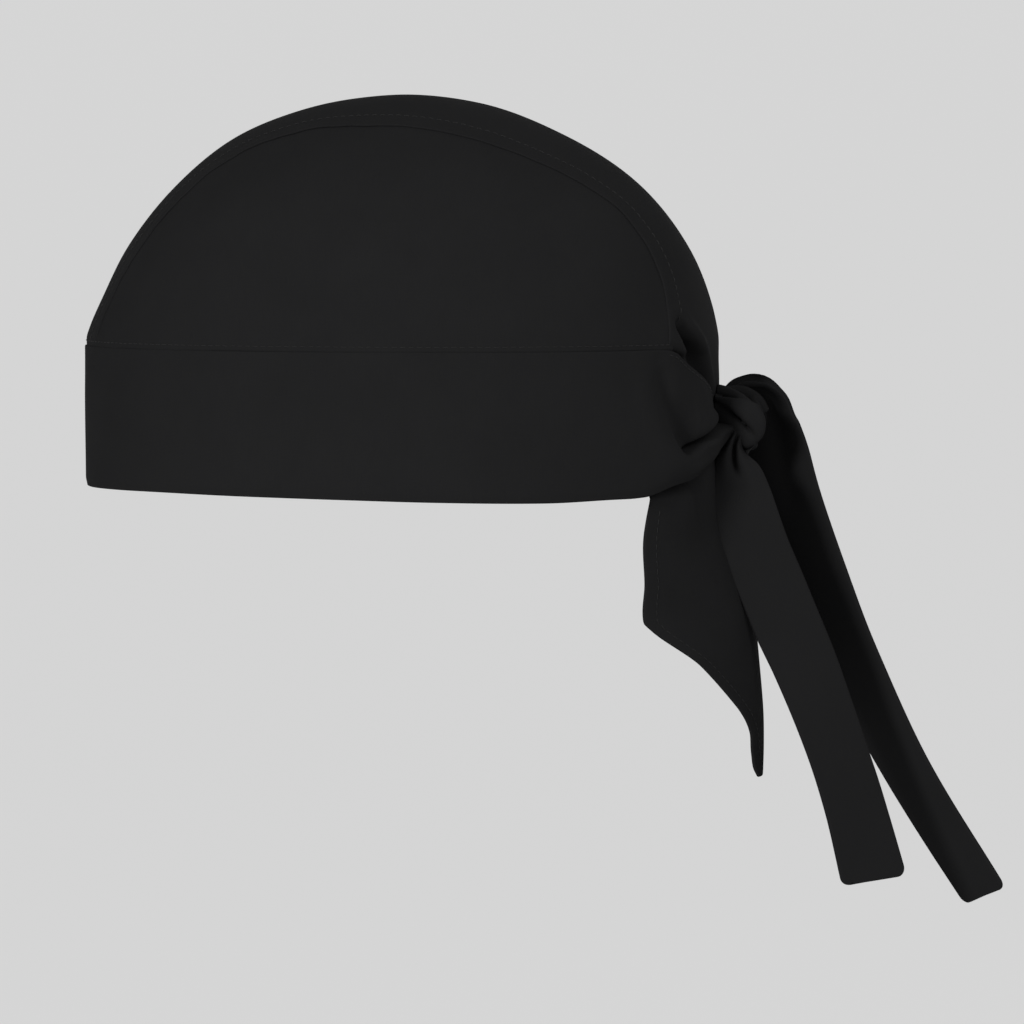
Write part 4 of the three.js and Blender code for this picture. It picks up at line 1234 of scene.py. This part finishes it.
def stitch_tree():
    tree = bpy.data.node_groups.new("stitches", "GeometryNodeTree")

    def socket(name, kind, in_out="INPUT"):
        return tree.interface.new_socket(name, in_out=in_out, socket_type="NodeSocket" + kind)

    def add(kind, options, *values, output=0, **named):
        """Adds a node as a shader's own method does. None leaves an input as it is."""
        node = tree.nodes.new(kind)
        for option, setting in options.items():
            setattr(node, option, setting)
        inputs = list(zip(node.inputs, values))
        inputs += [(node.inputs[name.replace("_", " ")], value) for name, value in named.items()]
        for target, value in inputs:
            if isinstance(value, bpy.types.NodeSocket):
                tree.links.new(value, target)
            elif value is not None:
                target.default_value = value
        return node.outputs[output]

    def times(value, factor):
        return add("ShaderNodeMath", {"operation": "MULTIPLY"}, value, factor)

    socket("Geometry", "Geometry")
    for name, size in stitch_sizes.items():
        socket(name, "Float").default_value = size * MM
    socket("Seed", "Int").default_value = STITCH_SEED
    socket("Material", "Material")
    socket("Geometry", "Geometry", "OUTPUT")
    given = tree.nodes.new("NodeGroupInput").outputs
    length, thread = given["Stitch length"], given["Thread"]
    line = add("GeometryNodeMeshToCurve", {}, Mesh=given["Geometry"])
    walk = add("GeometryNodeResampleCurve", {"mode": "LENGTH"}, Curve=line, Length=given["Pitch"])
    along = add("GeometryNodeInputTangent", {})
    away = add("GeometryNodeInputNamedAttribute", {"data_type": "FLOAT_VECTOR"}, Name="away")
    tilt = add("FunctionNodeRandomValue", {"data_type": "FLOAT"}, None, None, -STITCH_TILT,
               STITCH_TILT, output=1, Seed=given["Seed"])
    lay = add("FunctionNodeAlignRotationToVector", {"axis": "X", "pivot_axis": "AUTO"},
              Vector=along)
    face_out = add("FunctionNodeAlignRotationToVector", {"axis": "Z", "pivot_axis": "X"},
                   Rotation=lay, Vector=away)
    twist = add("FunctionNodeAxisAngleToRotation", {}, Axis=(0, 0, 1), Angle=tilt)
    turned = add("FunctionNodeRotateRotation", {"rotation_space": "LOCAL"}, Rotation=face_out,
                 Rotate_By=twist)
    sink = times(thread, -0.55)
    start = add("ShaderNodeCombineXYZ", {}, X=times(length, -0.5), Z=sink)
    top = add("ShaderNodeCombineXYZ", {}, Z=times(thread, 1.3))
    end = add("ShaderNodeCombineXYZ", {}, X=times(length, 0.5), Z=sink)
    bow = add("GeometryNodeCurveQuadraticBezier", {}, Resolution=6, Start=start, Middle=top,
              End=end)
    section = add("GeometryNodeCurvePrimitiveCircle", {}, Resolution=6, Radius=times(thread, 0.5))
    stitch = add("GeometryNodeCurveToMesh", {}, Curve=bow, Profile_Curve=section, Fill_Caps=True)
    place = add("GeometryNodeInstanceOnPoints", {}, Points=walk, Instance=stitch, Rotation=turned)
    real = add("GeometryNodeRealizeInstances", {}, Geometry=place)
    coat = add("GeometryNodeSetMaterial", {}, Geometry=real, Material=given["Material"])
    shade = add("GeometryNodeSetShadeSmooth", {}, Geometry=coat)
    tree.links.new(shade, tree.nodes.new("NodeGroupOutput").inputs[0])
    return tree


stitch_nodes = stitch_tree()
print(f"stitch tree: {len(stitch_nodes.nodes)} nodes")

# %% [markdown]
# A row of stitches is a mesh of edges with the tree as its modifier. What the tree makes is then
# turned into a plain mesh, so that nothing that comes after depends on the modifier. Guides are
# read from the cloth's own grids, so the stitches lie on the cloth wherever it puckers.

# %% Rows of stitches
def stitches(name, lines):
    """Stitches along lines on the cloth: a list of (points, directions away), in millimetres."""
    points = np.concatenate([line for line, _ in lines]) * MM
    away = np.concatenate([out for _, out in lines])
    line_ends = set(np.cumsum([len(line) for line, _ in lines]) - 1)
    edges = [(i, i + 1) for i in range(len(points)) if i not in line_ends]
    mesh = bpy.data.meshes.new(name + "_lines")
    mesh.from_pydata(points.tolist(), edges, [])
    directions = mesh.attributes.new("away", "FLOAT_VECTOR", "POINT").data
    directions.foreach_set("vector", away.astype(np.float32).ravel())
    guide = new_object(name + "_lines", mesh)
    modifier = guide.modifiers.new("stitches", "NODES")
    modifier.node_group = stitch_nodes
    sockets = {item.name: item.identifier for item in stitch_nodes.interface.items_tree
               if item.in_out == "INPUT"}
    modifier[sockets["Material"]] = sewing_thread
    graph = bpy.context.evaluated_depsgraph_get()
    made = bpy.data.meshes.new_from_object(guide.evaluated_get(graph))
    guide.modifiers.clear()
    bpy.data.objects.remove(guide)
    made.name = name
    made.calc_loop_triangles()
    print(f"{name}: {len(made.loop_triangles)} triangles")
    return new_object(name, made)


def stitch_row(grid, rows, columns):
    """A guide on a grid at fractional rows and columns, evenly spaced, with its way outwards."""
    r = np.clip(np.floor(rows).astype(int), 0, grid.shape[0] - 2)
    c = np.clip(np.floor(columns).astype(int), 0, grid.shape[1] - 2)
    down, right = (rows - r)[:, None], (columns - c)[:, None]

    def mix(values):
        upper = values[r, c] * (1 - right) + values[r, c + 1] * right
        lower = values[r + 1, c] * (1 - right) + values[r + 1, c + 1] * right
        return upper * (1 - down) + lower * down

    points, away = mix(grid), unit(mix(normals(grid)))
    length = path_lengths(points, 0)
    even = np.linspace(0, length[-1], max(int(length[-1] / GUIDE_STEP), 2))
    return between(even, length, points), unit(between(even, length, away))


# %% [markdown]
# The seams to stitch are the crown's foot just above the band, the two edges of the strip, the
# hems of the tail and the free edge of the band behind the ears.

# %% Stitch lines
GUIDE_STEP = 1.0
STITCH_FROM_BAND = 1.2
STRIP_STITCH = 7.5
STRIP_STITCH_END = 55
HEM_STITCH_FROM = 1.12
FREE_EDGE_STITCH = 1.5
FREE_EDGE_FROM = 0.24


def seam_above_band(grid):
    """Along the foot of a panel, at a height over the band."""
    height = path_lengths(grid, 0)
    columns = np.arange(2, grid.shape[1] - 2)
    aside, behind = np.abs(grid[0, columns, 0]), grid[0, columns, 1] > 0
    under_strip = np.where(behind, strip_half(1), strip_half(0))
    if under_strip.min() < aside.max():
        columns = columns[aside > under_strip]
    rows = [np.interp(STITCH_FROM_BAND, height[:, c], np.arange(len(grid))) for c in columns]
    return np.array(rows), columns.astype(float)


def beside_edges(rows, distance):
    """A guide beside each edge of the centre panel."""
    last = centre_grid.shape[1] - 1
    guides = []
    for grid, first, way in ((centre_grid, 0, 1), (centre_grid[:, ::-1], last, -1)):
        steps = [np.interp(distance, path_lengths(grid[r], 0), np.arange(last + 1)) for r in rows]
        guides.append(stitch_row(centre_grid, rows.astype(float), first + way * np.array(steps)))
    return guides


crown_lines = [stitch_row(grid, *seam_above_band(grid)) for grid in (*panel_grids, centre_grid)]
crown_stitches = stitches("crown_seam_stitches", crown_lines)

strip_rows = np.arange(6, CROWN_ROWS)
on_front = strip_rows < CROWN_ROWS / 2
strip_rows = strip_rows[on_front | (centre_grid[strip_rows, 0, 2] > STRIP_STITCH_END)]
strip_stitches = stitches("strip_stitches", beside_edges(strip_rows, STRIP_STITCH))

tail_first = CROWN_ROWS + int(np.searchsorted(centre_legs, HEM_STITCH_FROM))
tail_rows = np.arange(tail_first, len(centre_grid) - 8)
tail_widths = path_lengths(centre_grid, 1)[:, -1]
tail_rows = tail_rows[tail_widths[tail_rows] > 4 * HEM_WIDTH]
hem_stitches = stitches("tail_hem_stitches", beside_edges(tail_rows, HEM_WIDTH))

free = np.flatnonzero((band_gathered > FREE_EDGE_FROM) & (band_gathered < 1))
from_top = path_lengths(band_grid[::-1], 0)
levels = np.arange(len(band_grid))
edge_lines = []
for side in (-1, 1):
    columns = len(band_gathered) - 1 + side * free
    rows = [levels[-1] - np.interp(FREE_EDGE_STITCH, from_top[:, c], levels) for c in columns]
    edge_lines.append(stitch_row(band_grid, np.array(rows), columns.astype(float)))
edge_stitches = stitches("band_edge_stitches", edge_lines)

# %% [markdown]
# Each cloth piece hides the solid that it stands for, rides on a body and prints the size of the
# flat cloth that it was cut from. The cap has no joint, so everything rides on the one body.

# %% Pieces on their body
def declare(piece, node, flat):
    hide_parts(node)
    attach(piece, "root")
    one_side = sum(face.area for face in piece.data.polygons) / 2
    length, breadth = flat
    print(f"{piece.name}: cut {length / MM:.0f} x {breadth / MM:.0f} mm, "
          f"one side {one_side * 1e4:.0f} cm2")


for row_of_stitches, slot in ((crown_stitches, "crown_cotton"), (strip_stitches, "crown_cotton"),
                              (hem_stitches, "crown_cotton"), (edge_stitches, "band_cotton")):
    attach(row_of_stitches, "root")

declare(band, "forehead_band", (0.62, 0.048))
for side_piece, node in ((side_left, "side_panel_left"), (side_right, "side_panel_right")):
    declare(side_piece, node, (0.27, 0.11))
declare(centre, "centre_panel", (0.116, 0.42))
declare(knot, "knot", (0.03, 0.06))
declare(near_tie, "tie_left", (0.022, 0.156))
declare(far_tie, "tie_right", (0.022, 0.2))

# %% [markdown]
# Both boxes are printed, the finished cloth's and the solids'. Fabric may stand a few millimetres
# proud of the solids' box.

# %% Sizes
made_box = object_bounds()
for axis, low, high, cad_low, cad_high in zip("XYZ", *made_box, *cad_box):
    print(f"{axis}: {low / MM:.1f} to {high / MM:.1f} mm, "
          f"solids {cad_low / MM:.1f} to {cad_high / MM:.1f} mm")
